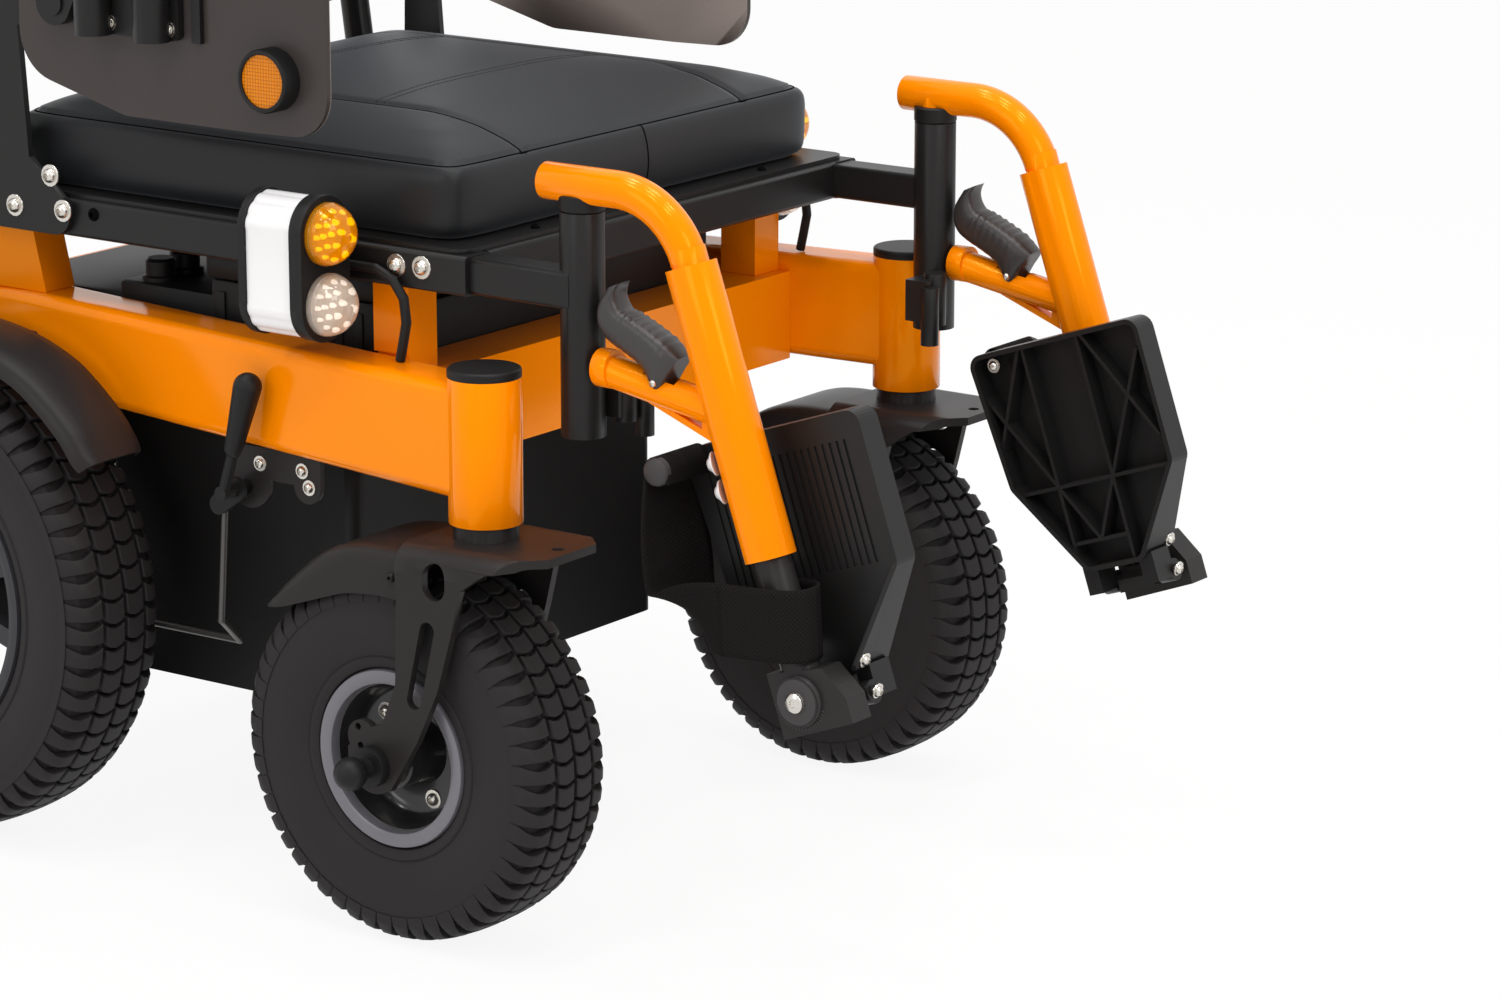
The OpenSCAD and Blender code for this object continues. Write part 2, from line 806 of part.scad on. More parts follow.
// Side outline of the grip, from its front end back to its horn
module grip_outline() {
  polygon([[-321, 420], [-315, 426], [-300, 433.5], [-285, 439.5], [-274, 444.5], [-269.5, 449],
    [-269, 455], [-272, 463], [-260, 459], [-253, 447], [-252.5, 433], [-256, 422], [-266, 418.5],
    [-277, 414], [-292, 411.5], [-306, 410], [-318, 410]]);
}

module release_lever() {
  color([0.25, 0.26, 0.28]) {
    pin_x(leg_x - 12, leg_x + 12, -305, 401, 4);
    along_x(leg_x - 6.5, leg_x + 6.5) hull() {
      translate([-305, 401]) circle(9);
      translate([-302, 416]) circle(8);
    }
    along_x(leg_x - 12.5, leg_x + 12.5) grip_outline();
  }
}

disc_y = -9;
disc_z = 2;
module leg_tube() {
  color(black) leg_frame() {
    translate([0, tube_y, -4]) linear_extrude(250) sleeve_outline(-0.1);
    along_x(-10, 11) polygon([[11.5, 23.5], [11.5, -21], [-46, -19], [-46, -2], [-33, 20]]);
    pin_x(10, 15, disc_y, disc_z, 16.5);
    pin_x(15, 18, disc_y, disc_z, 7);
    difference() {
      along_x(flip_x - 8, -9) translate([-14, flip_z]) square([30, 16], center = true);
      pin_y(-40, 20, flip_x - 8, flip_z + 8, 7);
    }
    pin_y(-46, 18, flip_x, flip_z, flip_r);
  }
}

// Footplate, flipped up: the tread faces outwards and the ribs face inwards

plate_out = -30;
plate_in = -51;
module plate_outline(inset) {
  hull() for (p = [[52, 166], [-74, 166], [-74, 76], [-33, 18], [5, 18], [46, 80]])
    translate(p) circle(10 - inset, $fn = 24);
}

// Ribs of the tray, as lines from one point to the next
ribs = [[[17, 180], [17, 10]], [[-30, 180], [-30, 10]], [[62, 71], [-84, 71]], [[17, 29], [-30, 29]],
  [[64, 155], [17, 71]], [[17, 71], [-7, 29]], [[18, 178], [63, 92]],
  [[-77, 155], [-30, 71]], [[-30, 71], [-7, 29]], [[-31, 178], [-77, 92]]];
module plate_ribs() {
  for (r = ribs) let(d = r[1] - r[0])
    translate((r[0] + r[1]) / 2) rotate(atan2(d.y, d.x)) square([norm(d), 2.6], center = true);
}

// The front wall grows deeper down to the hinge
module plate_flange() {
  hull() {
    along_x(plate_in, plate_out) translate([-80.5, 71.4]) circle(2, $fn = 16);
    along_x(plate_in, -14) translate([-39.5, 13.4]) circle(2, $fn = 16);
  }
}

module footplate() {
  color(black) leg_frame() {
    difference() {
      union() {
        along_x(plate_in, plate_out) plate_outline(0);
        plate_flange();
        for (y = [-44, 4]) {
          pin_y(y, y + 12, flip_x, flip_z, 8);
          translate([plate_in + 4, y, flip_z - 4]) cube([22, 12, 22]);
        }
      }
      difference() {
        along_x(plate_in - 1, plate_out - 4) plate_outline(3.5);
        along_x(plate_in + 3, plate_out) plate_ribs();
      }
      for (y = [-70 : 6 : 44]) along_x(plate_out - 1.2, plate_out + 1) translate([y, 76]) square([2.6, 82]);
      pin_y(-60, 30, flip_x, flip_z, flip_r + run);
    }
    pin_x(plate_out - 1, 14, 52, 168, 6.5);
    pin_x(12, 16, 52, 168, 9);
  }
}

// Heel band: sleeved on the footplate's post, it hangs straight down from it
// and comes forward to be wrapped round the leg
band_route = [[58, 160], [84, 92], [64, 72], [36, 60], [11, 50]];
module heel_strap() {
  color(black) leg_frame() {
    along_x(-29, 11.5) difference() {
      union() {
        translate([52, 168]) circle(10);
        for (i = [1 : len(band_route) - 1]) hull() {
          translate(band_route[i - 1]) circle(3, $fn = 16);
          translate(band_route[i]) circle(3, $fn = 16);
        }
      }
      translate([52, 168]) circle(6.8);
    }
    difference() {
      translate([0, tube_y, 25]) linear_extrude(48) sleeve_outline(4);
      translate([0, tube_y, 15]) linear_extrude(70) sleeve_outline(0.1);
    }
  }
}

// Backrest

module back_local() {
  translate([0, hinge_y, hinge_z]) rotate([-back_lean, 0, 0]) children();
}

grip_bend = 40;
module back_upright() {
  difference() {
    union() {
      translate([back_x, 0, 0]) cylinder(h = back_len, r = back_r);
      translate([back_x, grip_bend, back_len]) rotate([90, 0, -90])
        rotate_extrude(angle = 90 - back_lean) translate([grip_bend, 0]) circle(back_r);
      pin_x(back_x - 6, eye_end, 0, 0, 17);
    }
    pin_x(back_x + 2, eye_end + 1, 0, 0, hinge_pin_r + run);
  }
}

grip_len = 92;
function grip_start() = let(a = 90 - back_lean) [grip_bend * (1 - cos(a)), back_len + grip_bend * sin(a)];
module back_frame() {
  color(black) back_local() {
    both() {
      back_upright();
      translate([back_x, grip_start().x, grip_start().y]) rotate([back_lean - 90, 0, 0]) {
        translate([0, 0, -2]) cylinder(h = grip_len, r = 15);
      }
    }
    for (z = [120, 420]) pin_x(-back_x + back_r + 0.4, back_x - back_r - 0.4, 2, z, 8);
  }
}

module back_cushion() {
  color(black) back_local() translate([0, -back_r - 0.4, 290]) rotate([90, 0, 0])
    pad(200, 238, 46, 8, 12);
}

// Arms

module panel_outline() {
  hull() {
    translate([-18, 566]) circle(30);
    translate([20, 571]) circle(36);
    translate([130, 571]) circle(36);
    translate([196, 588]) circle(36);
    translate([-43, 690]) circle(5);
    translate([226, 690]) circle(5);
  }
}

module arm_panel() {
  color(taupe) difference() {
    along_x(panel_x, panel_x + panel_t) panel_outline();
    pin_x(200, 300, arm_y, arm_z, arm_pin_r + 4);
  }
}

arm_bar_z = 696;
arm_bar_y0 = -60;
arm_bar_y1 = 220;
module arm_frame() {
  x0 = panel_x + panel_t + gap;
  color(black) difference() {
    union() {
      for (y = [96, 150]) translate([x0 + 13, y, 592]) cylinder(h = arm_bar_z - 591, r = 13);
      along_x(x0, x0 + 6) translate([123, 648]) rounded(90, 112, 6);
      along_x(x0, x0 + 4) translate([64, 645]) square([8, 106], center = true);
      along_x(x0, x0 + 10) hull() {
        translate([arm_y, arm_z]) circle(16);
        translate([160, 680]) circle(20);
      }
      along_y(arm_bar_y0, arm_bar_y1) translate([240, arm_bar_z + 9]) rounded(40, 18, 5);
    }
    pin_x(200, 300, arm_y, arm_z, arm_pin_r + run);
  }
}

arm_pad_z = arm_bar_z + 18 + gap;
module arm_pad() {
  color(black) translate([244, 76, arm_pad_z]) pad(29, 150, arm_top - arm_pad_z - 3, 6, 3);
}

module reflector() {
  x0 = panel_x + panel_t + gap;
  color(amber) {
    pin_x(x0, x0 + 10, -3, 574, 21);
    pin_x(x0 + 9, x0 + 13, -3, 574, 18.5);
  }
}

// Joystick pod under the hand, on the right arm

module joystick_pod() {
  color(black) difference() {
    union() {
      translate([pod_x, pod_y, pod_z - 20]) linear_extrude(36) rounded(68, 108, 16);
      translate([pod_x, pod_y + 18, pod_z + 15]) cylinder(h = 6, r = 24);
      pin_y(pod_y + 50, arm_bar_y0 - gap, -244, arm_bar_z + 9, 7);
    }
    translate([pod_x, pod_y + 18, pod_z - 6]) cylinder(h = 40, r = 15);
    pin_x(pod_x - 19, pod_x + 19, pod_y + 18, stick_z - 8, 2 + run);
    for (x = [-17, 17]) translate([pod_x + x, pod_y - 32, pod_z + 4]) cylinder(h = 20, r = 7 + run);
  }
}

module joystick_gimbal() {
  color(steel) translate([pod_x, pod_y + 18, stick_z - 8]) difference() {
    union() {
      translate([0, 0, -3]) cylinder(h = 6, r = 11);
      pin_x(-18, 18, 0, 0, 2);
    }
    translate([0, 0, -5]) cylinder(h = 10, r = 8);
    pin_y(-12, 12, 0, 0, 1.5 + run);
  }
}

module joystick_stick() {
  color(black) translate([pod_x, pod_y + 18, stick_z - 8]) {
    sphere(4.5);
    pin_y(-10.5, 10.5, 0, 0, 1.5);
    cylinder(h = 34, r = 2.6);
    translate([0, 0, 26]) cylinder(h = 22, r1 = 7, r2 = 11);
    translate([0, 0, 48]) sphere(11);
  }
}

module pod_button(x) {
  translate([pod_x + x, pod_y - 32, pod_z + 6]) {
    cylinder(h = 12, r = 7);
    translate([0, 0, 12]) cylinder(h = 1, r1 = 7, r2 = 6);
  }
}
module power_button() {
  color([0.2, 0.55, 0.25]) pod_button(-17);
}
module speed_button() {
  color([0.75, 0.75, 0.72]) pod_button(17);
}

module right() {
  mirror([1, 0, 0]) children();
}

placed() right() rail();  // rail_right
placed() rail();  // rail_left
placed() cross_frame();
placed() seat_frame();
placed() seat_cushion();
placed() hinge_plates();
placed() legrest_mounts();
placed() head_caps();
placed() battery_box();
placed() batteries();
placed() drive_motors();
placed() rear_fenders();
placed() lamp_housings();
placed() lamp_lenses_amber();
placed() lamp_lenses_clear();
placed() lamp_mounts();
placed() freewheel_brackets();
placed() right() freewheel_lever();  // freewheel_lever_right
placed() freewheel_lever();  // freewheel_lever_left
placed() right() freewheel_rod();  // freewheel_rod_right
placed() freewheel_rod();  // freewheel_rod_left
placed() right() rear_tyre();  // rear_tyre_right
placed() rear_tyre();  // rear_tyre_left
placed() right() rear_rim();  // rear_rim_right
placed() rear_rim();  // rear_rim_left
placed() right() fork();  // fork_right
placed() fork();  // fork_left
placed() right() caster_fender();  // caster_fender_right
placed() caster_fender();  // caster_fender_left
placed() right() caster_axle();  // caster_axle_right
placed() caster_axle();  // caster_axle_left
placed() right() caster_tyre();  // caster_tyre_right
placed() caster_tyre();  // caster_tyre_left
placed() right() caster_rim();  // caster_rim_right
placed() caster_rim();  // caster_rim_left
placed() right() hanger();  // hanger_right
placed() hanger();  // hanger_left
placed() right() release_lever();  // release_lever_right
placed() release_lever();  // release_lever_left
placed() right() leg_tube();  // leg_tube_right
placed() leg_tube();  // leg_tube_left
placed() right() footplate();  // footplate_right
placed() footplate();  // footplate_left
placed() right() heel_strap();  // heel_strap_right
placed() heel_strap();  // heel_strap_left
placed() back_frame();
placed() back_cushion();
placed() right() arm_frame();  // arm_frame_right
placed() arm_frame();  // arm_frame_left
placed() right() arm_panel();  // arm_panel_right
placed() arm_panel();  // arm_panel_left
placed() right() arm_pad();  // arm_pad_right
placed() arm_pad();  // arm_pad_left
placed() right() reflector();  // reflector_right
placed() reflector();  // reflector_left
placed() joystick_pod();
placed() joystick_gimbal();
placed() joystick_stick();
placed() power_button();
placed() speed_button();
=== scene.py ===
"""All terrain wheelchair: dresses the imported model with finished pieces, materials and a studio."""
import json
import logging
import math
from dataclasses import dataclass
from enum import Enum

import bmesh
import bpy
from mathutils import Matrix, Vector
from mathutils.bvhtree import BVHTree

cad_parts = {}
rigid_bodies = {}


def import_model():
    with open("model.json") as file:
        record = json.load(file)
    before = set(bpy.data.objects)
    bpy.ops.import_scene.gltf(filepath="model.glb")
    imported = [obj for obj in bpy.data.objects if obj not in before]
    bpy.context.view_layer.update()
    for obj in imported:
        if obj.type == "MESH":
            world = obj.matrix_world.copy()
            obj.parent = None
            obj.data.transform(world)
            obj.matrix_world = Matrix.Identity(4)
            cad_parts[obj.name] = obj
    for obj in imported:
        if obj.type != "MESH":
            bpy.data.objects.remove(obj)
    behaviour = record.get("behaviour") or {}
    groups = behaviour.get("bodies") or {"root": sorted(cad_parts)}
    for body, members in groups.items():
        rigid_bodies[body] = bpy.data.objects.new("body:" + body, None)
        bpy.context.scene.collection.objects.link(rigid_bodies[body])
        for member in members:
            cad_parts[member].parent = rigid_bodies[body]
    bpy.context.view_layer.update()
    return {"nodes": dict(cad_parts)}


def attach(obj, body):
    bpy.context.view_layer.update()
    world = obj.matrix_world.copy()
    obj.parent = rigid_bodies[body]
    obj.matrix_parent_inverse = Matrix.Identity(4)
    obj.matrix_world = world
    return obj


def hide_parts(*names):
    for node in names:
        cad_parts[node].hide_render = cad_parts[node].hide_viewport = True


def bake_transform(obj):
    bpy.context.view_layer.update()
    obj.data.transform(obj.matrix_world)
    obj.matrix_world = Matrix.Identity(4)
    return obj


for spare in list(bpy.data.objects):
    bpy.data.objects.remove(spare)
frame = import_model()
log = logging.getLogger("chair")

Point = tuple[float, float, float]
Pair = tuple[float, float]

MM = 0.001
MIDDLE_Y = 9.3
TO_SCENE = Matrix.Diagonal((MM, MM, MM, 1.0)) @ Matrix.Translation((0.0, -MIDDLE_Y, 0.0))
LEG = Matrix.Translation((211.0, -413.0, 201.0)) @ Matrix.Rotation(math.radians(-19.0), 4, "X")
BACK = Matrix.Translation((0.0, 292.0, 500.0)) @ Matrix.Rotation(math.radians(-8.0), 4, "X")
CASTER_WHEEL: Point = (249.0, -129.0, 130.0)
REAR_WHEEL: Point = (260.0, 311.0, 180.0)
# Local Z runs along the chair's X, and local X along its Y
CROSSWISE = Matrix(((0, 0, 1, 0), (1, 0, 0, 0), (0, 1, 0, 0), (0, 0, 0, 1)))
# Local Z runs along the chair's Y
LENGTHWISE = Matrix(((1, 0, 0, 0), (0, 0, 1, 0), (0, 1, 0, 0), (0, 0, 0, 1)))
# Local Z runs to the chair's front
FORWARD = Matrix.Rotation(math.pi / 2, 4, "X")
UP = Vector((0.0, 0.0, 1.0))
# Largest angle, in degrees, that is shaded smooth on a plain piece
SMOOTH = 38.0
# A distance in millimetres that counts as away from every seam
AWAY = 99.0


class Side(Enum):
    """The two sides of the chair, with the sign of X on each."""

    RIGHT = -1
    LEFT = 1

    @property
    def tag(self) -> str:
        """The word that ends a side piece's name."""
        return self.name.lower()

    @property
    def flip(self) -> Matrix:
        """The matrix that takes a shape drawn for the left to this side."""
        return Matrix.Diagonal((float(self.value), 1.0, 1.0, 1.0))


class Grain(Enum):
    """The fine relief of a finish."""

    POWDER = "powder"
    PEBBLE = "pebble"
    WEAVE = "weave"
    BRUSHED = "brushed"
    PRISM = "prism"


# Shared effects


class Effects:
    """Node groups that several finishes use, each built once."""

    KINDS = {"Vector": "NodeSocketVector", "Colour": "NodeSocketColor"}

    @classmethod
    def find(cls, name: str) -> bpy.types.NodeTree:
        """The group of that name, which is built the first time."""
        return bpy.data.node_groups.get(name.title()) or getattr(cls, name)()

    @classmethod
    def start(cls, name: str, inputs: tuple[str, ...], outputs: tuple[str, ...]) -> tuple:
        """Makes an empty group with its sockets.

        Args:
            name: The group's name.
            inputs: Names of its inputs.
            outputs: Names of its outputs.

        Returns:
            The group, the sockets of its input node and its output node.
        """
        group = bpy.data.node_groups.new(name, "ShaderNodeTree")
        for way, sockets in (("INPUT", inputs), ("OUTPUT", outputs)):
            for socket in sockets:
                kind = cls.KINDS.get(socket, "NodeSocketFloat")
                group.interface.new_socket(socket, in_out=way, socket_type=kind)
        return group, group.nodes.new("NodeGroupInput").outputs, group.nodes.new("NodeGroupOutput")

    @staticmethod
    def feed(node: bpy.types.Node, inputs: dict) -> None:
        """Sets a node's inputs.

        Args:
            node: The node.
            inputs: A value, or a socket to link, for each input's name or number.
        """
        for name, value in inputs.items():
            if isinstance(value, bpy.types.NodeSocket):
                node.id_data.links.new(value, node.inputs[name])
            else:
                node.inputs[name].default_value = value

    @classmethod
    def node(cls, tree: bpy.types.NodeTree, kind: str, inputs: dict, **settings) -> bpy.types.Node:
        """Adds a node.

        Args:
            tree: The node tree.
            kind: The node's type, without its first words.
            inputs: A value, or a socket to link, for each input's name or number.
            **settings: The node's own settings.

        Returns:
            The node.
        """
        made = tree.nodes.new("ShaderNode" + kind)
        for name, value in settings.items():
            setattr(made, name, value)
        cls.feed(made, inputs)
        return made

    @classmethod
    def maths(cls, tree: bpy.types.NodeTree, operation: str, first, second) -> bpy.types.NodeSocket:
        """The result of a sum with two sockets or numbers."""
        return cls.node(tree, "Math", {0: first, 1: second}, operation=operation).outputs[0]

    @classmethod
    def mottle(cls) -> bpy.types.NodeTree:
        """Uneven tone and gloss with a fine relief.

        Returns:
            The node group.
        """
        group, given, leave = cls.start(
            "Mottle", ("Vector", "Colour", "Scale", "Variation", "Roughness", "Spread"),
            ("Colour", "Roughness", "Height"))
        noises = [cls.node(group, "TexNoise", {"Vector": given["Vector"], "Scale": scale, "Detail": detail})
                  for scale, detail in ((9.0, 4.0), (given["Scale"], 2.0))]
        broad, fine = (noise.outputs[0] for noise in noises)
        both = cls.maths(group, "ADD", cls.maths(group, "MULTIPLY", broad, 0.65),
                         cls.maths(group, "MULTIPLY", fine, 0.35))
        swing = cls.maths(group, "SUBTRACT", both, 0.5)
        share = cls.maths(group, "ADD", 1.0, cls.maths(group, "MULTIPLY", swing, given["Variation"]))
        tone = cls.node(group, "VectorMath", {0: given["Colour"], "Scale": share}, operation="SCALE")
        rough = cls.maths(group, "ADD", given["Roughness"],
                          cls.maths(group, "MULTIPLY", swing, given["Spread"]))
        cls.feed(leave, {"Colour": tone.outputs[0], "Roughness": rough, "Height": fine})
        return group

    @classmethod
    def pebble(cls) -> bpy.types.NodeTree:
        """The rounded cells and creases of coated fabric.

        Returns:
            The node group.
        """
        group, given, leave = cls.start("Pebble", ("Vector", "Scale"), ("Height",))
        warp = cls.node(group, "TexNoise", {"Vector": given["Vector"], "Scale": 160.0})
        cells = cls.node(group, "TexVoronoi", {"Vector": given["Vector"], "Scale": given["Scale"],
                                               "Smoothness": 0.35}, feature="SMOOTH_F1")
        dome = cls.maths(group, "SUBTRACT", 1.0, cells.outputs["Distance"])
        height = cls.maths(group, "ADD", dome, cls.maths(group, "MULTIPLY", warp.outputs[0], 0.5))
        cls.feed(leave, {"Height": height})
        return group

    @classmethod
    def weave(cls) -> bpy.types.NodeTree:
        """Threads over and under, with the holes of an open mesh between them.

        Returns:
            The node group.
        """
        group, given, leave = cls.start("Weave", ("Vector", "Scale"), ("Height", "Hole"))
        split = cls.node(group, "SeparateXYZ", {0: given["Vector"]})
        turns = [cls.maths(group, "MULTIPLY", split.outputs[axis], given["Scale"]) for axis in (0, 1)]
        product = cls.maths(group, "MULTIPLY", *(cls.maths(group, "SINE", turn, 0.0) for turn in turns))
        height = cls.maths(group, "ADD", cls.maths(group, "MULTIPLY", product, 0.5), 0.5)
        cls.feed(leave, {"Height": height, "Hole": cls.maths(group, "GREATER_THAN", product, 0.55)})
        return group

    @classmethod
    def brushed(cls) -> bpy.types.NodeTree:
        """Fine lines left by machining.

        Returns:
            The node group.
        """
        group, given, leave = cls.start("Brushed", ("Vector", "Scale"), ("Height",))
        stretch = cls.node(group, "VectorMath", {0: given["Vector"], 1: (1.0, 0.06, 0.06)},
                           operation="MULTIPLY")
        lines = cls.node(group, "TexNoise", {"Vector": stretch.outputs[0], "Scale": given["Scale"]})
        cls.feed(leave, {"Height": lines.outputs[0]})
        return group

    @classmethod
    def prism(cls) -> bpy.types.NodeTree:
        """The facets inside a lens or a reflector.

        Returns:
            The node group.
        """
        group, given, leave = cls.start("Prism", ("Vector", "Scale"), ("Height", "Edge"))
        even = {"Vector": given["Vector"], "Scale": given["Scale"], "Randomness": 0.0}
        cells = cls.node(group, "TexVoronoi", even)
        edges = cls.node(group, "TexVoronoi", even, feature="DISTANCE_TO_EDGE")
        line = cls.maths(group, "LESS_THAN", edges.outputs["Distance"], 0.07)
        cls.feed(leave, {"Height": cells.outputs["Distance"], "Edge": line})
        return group


@dataclass(frozen=True)
class Finish:
    """A surface finish and its procedural material."""

    name: str
    slot: str
    colour: Point
    roughness: float
    metallic: float = 0.0
    coat: float = 0.0
    sheen: float = 0.0
    variation: float = 0.25
    spread: float = 0.15
    grain: Grain = Grain.POWDER
    scale: float = 900.0
    relief: float = 0.15
    depth: float = 0.0003
    clear: float = 0.0
    gloss: float = 0.25
    glow: float = 0.0
    tint: Point = (1.0, 1.0, 1.0)
    uses_uv: bool = False
    shade: float = 0.45

    def material(self) -> bpy.types.Material:
        """Builds the material, or finds it if it is already there.

        Returns:
            The material.
        """
        found = bpy.data.materials.get(self.name)
        if found:
            return found
        made = bpy.data.materials.new(self.name)
        made.use_nodes = True
        tree = made.node_tree
        full = (*self.colour, 1.0)
        shader = tree.nodes["Principled BSDF"]
        Effects.feed(shader, {
            "Metallic": self.metallic, "Coat Weight": self.coat, "Coat Roughness": 0.08,
            "Sheen Weight": self.sheen, "Sheen Roughness": 0.4, "Sheen Tint": (0.86, 0.92, 1.0, 1.0),
            "Transmission Weight": self.clear, "Specular IOR Level": self.gloss,
            "Specular Tint": (*self.tint, 1.0)})
        # Only the light units glow, as painted highlights.
        if self.glow:
            Effects.feed(shader, {"Emission Color": full, "Emission Strength": self.glow})
        where = tree.nodes.new("ShaderNodeTexCoord").outputs
        tone = Effects.node(tree, "Group", {
            "Vector": where["Object"], "Colour": full, "Scale": self.scale, "Variation": self.variation,
            "Roughness": self.roughness, "Spread": self.spread}, node_tree=Effects.find("mottle"))
        colour, height = tone.outputs["Colour"], tone.outputs["Height"]
        if self.grain is not Grain.POWDER:
            spot = where["UV" if self.uses_uv else "Object"]
            relief = Effects.node(tree, "Group", {"Vector": spot, "Scale": self.scale},
                                  node_tree=Effects.find(self.grain.value))
            height = relief.outputs["Height"]
            # Holes of the weave and edges of the prism facets take a darker share of the colour: painted
            # shade.
            mask = relief.outputs.get("Hole") or relief.outputs.get("Edge")
            if mask:
                painted_shade_colour = (*(self.shade * part for part in self.colour), 1.0)
                mixed = Effects.node(tree, "Mix", {"Factor": mask, "A": colour, "B": painted_shade_colour}, data_type="RGBA")
                colour = mixed.outputs["Result"]
        bump = Effects.node(tree, "Bump", {"Strength": self.relief, "Distance": self.depth, "Height": height})
        Effects.feed(shader, {"Base Color": colour, "Roughness": tone.outputs["Roughness"],
                              "Normal": bump.outputs["Normal"]})
        return made


ORANGE = Finish("orange_gloss", "orange_paint", (1.0, 0.25, 0.0), 0.15, variation=0.06, spread=0.06,
                scale=420.0, relief=0.05, gloss=0.42, tint=(1.0, 0.7, 0.1))
BLACK = Finish("black_satin", "black_coat", (0.0105, 0.0098, 0.0096), 0.38, variation=0.3, relief=0.2,
               gloss=0.26)
FORK = Finish("fork_grey", "grey_coat", (0.02, 0.0175, 0.017), 0.36, variation=0.2, relief=0.25, scale=1100.0,
              gloss=0.16)
CAST = Finish("cast_black", "black_coat", (0.0185, 0.0165, 0.016), 0.4, relief=0.25, gloss=0.22)
SHELL = Finish("bracket_grey", "grey_shell", (0.045, 0.042, 0.042), 0.45, variation=0.2, relief=0.2)
PLASTIC = Finish("black_moulded", "black_plastic", (0.009, 0.0086, 0.0086), 0.46, variation=0.3, relief=0.35,
                 scale=1400.0, gloss=0.22)
LEATHER = Finish("leatherette_black", "leatherette", (0.0065, 0.0068, 0.008), 0.48, sheen=0.2, variation=0.2,
                 grain=Grain.PEBBLE, relief=0.16, depth=0.0002, gloss=0.3)
THREAD = Finish("seam_thread", "leatherette", (0.024, 0.024, 0.026), 0.6, scale=2500.0)
# Near-black matte lines laid in the cushions' seam grooves paint the shade of the creases; the frame's hole
# plugs use the same black.
SHADE_LINE_AND_PLUG = Finish("seam_crease", "leatherette", (0.002, 0.002, 0.002), 0.9, relief=0.02, gloss=0.05)
BATTERY = Finish("battery_shell", "battery_case", (0.05, 0.05, 0.053), 0.5)
MOTOR = Finish("motor_paint", "motor_case", (0.03, 0.03, 0.032), 0.5, metallic=0.3)
LAMP_WHITE = Finish("lamp_shell", "lamp_white", (0.82, 0.81, 0.81), 0.25, coat=0.3, variation=0.04,
                    relief=0.04, gloss=0.5)
# Facet edges on both lenses keep 0.9 of the colour: painted shade along the edges.
AMBER = Finish("amber_moulded", "amber_lens", (1.0, 0.42, 0.0), 0.05, coat=0.05, grain=Grain.PRISM,
               scale=95.0, relief=0.2, depth=0.002, variation=0.1, clear=0.72, gloss=0.4,
               tint=(1.0, 0.8, 0.4), shade=0.9)
CLEAR = Finish("clear_moulded", "clear_lens", (0.93, 0.8, 0.68), 0.05, coat=0.15, grain=Grain.PRISM,
               scale=95.0, relief=0.2, depth=0.002, variation=0.1, clear=0.75, gloss=0.4, shade=0.9)
# The light units glow: painted highlights that stand in for the glints seen on the lenses.
AMBER_LED_GLINT = Finish("amber_led", "amber_lens", (1.0, 0.86, 0.6), 0.2, glow=1.0, relief=0.02, gloss=0.5)
CLEAR_LED_GLINT = Finish("clear_led", "clear_lens", (1.0, 0.97, 0.92), 0.2, glow=0.6, relief=0.02, gloss=0.5)
AMBER_BOWL = Finish("amber_bowl", "amber_lens", (0.85, 0.5, 0.12), 0.3, relief=0.02)
CLEAR_BOWL = Finish("clear_bowl", "clear_lens", (0.66, 0.58, 0.5), 0.3, relief=0.02)
TYRE = Finish("tyre_rubber", "tyre", (0.021, 0.019, 0.019), 0.6, variation=0.35, relief=0.3, scale=700.0,
              gloss=0.16)
DARK_ALLOY = Finish("dark_rim", "dark_alloy", (0.045, 0.044, 0.049), 0.36, metallic=0.3, variation=0.15,
                    scale=800.0)
PALE_ALLOY = Finish("lip_alloy", "pale_alloy", (0.175, 0.168, 0.187), 0.34, metallic=0.3, variation=0.12)
GLOSS_DISH = Finish("dish_black", "dark_alloy", (0.014, 0.0135, 0.014), 0.22, coat=0.2, variation=0.2,
                    gloss=0.4)
STEEL = Finish("zinc_steel", "steel", (0.66, 0.63, 0.58), 0.26, metallic=1.0, grain=Grain.BRUSHED,
               relief=0.12, depth=0.0001)
LEVER = Finish("lever_moulded", "lever_rubber", (0.03, 0.027, 0.026), 0.36, variation=0.2, relief=0.2,
               scale=1300.0, gloss=0.5)
# The weave's holes keep 0.3 of the colour: painted shade in the holes.
BAND = Finish("band_weave", "band_mesh", (0.0112, 0.01, 0.0097), 0.85, grain=Grain.WEAVE, scale=2100.0,
              relief=0.6, depth=0.0005, uses_uv=True, gloss=0.06, shade=0.3)
TAUPE = Finish("taupe_satin", "taupe_panel", (0.046, 0.0375, 0.0345), 0.34, variation=0.1, relief=0.12,
               scale=1200.0, gloss=0.26)
# Facet edges keep 0.45 of the colour: painted shade along the edges.
REFLECTOR = Finish("reflector_prism", "reflector_amber", (0.72, 0.21, 0.002), 0.2, coat=0.1,
                   grain=Grain.PRISM, scale=420.0, relief=0.6, depth=0.0012, variation=0.15, gloss=0.15)
# The arm panel's taupe made nearly seven times brighter and laid on the inner faces: painted light.
PAINTED_LIGHT_TAUPE = Finish("lining_taupe", "taupe_panel", (0.31, 0.255, 0.23), 0.36, variation=0.1, relief=0.12,
                scale=1200.0)
ZINC = Finish("zinc_bright", "steel", (0.74, 0.72, 0.71), 0.34, metallic=0.4, variation=0.1, gloss=0.5)
WIRE = Finish("dark_wire", "steel", (0.1, 0.096, 0.092), 0.36, metallic=0.7, variation=0.1)
GREEN = Finish("green_cap", "button_green", (0.04, 0.26, 0.07), 0.4, relief=0.1)
GREY = Finish("grey_cap", "button_grey", (0.5, 0.5, 0.47), 0.4, relief=0.1)


# Making meshes


def signed_power(value: float, power: float) -> float:
    """A power of a value that keeps its sign."""
    return math.copysign(abs(value) ** power, value)


def crosswise(x: float, y: float = 0.0, z: float = 0.0) -> Matrix:
    """The place of a flat shape in the YZ plane, or of a turned one about an X axis."""
    return Matrix.Translation((x, y, z)) @ CROSSWISE


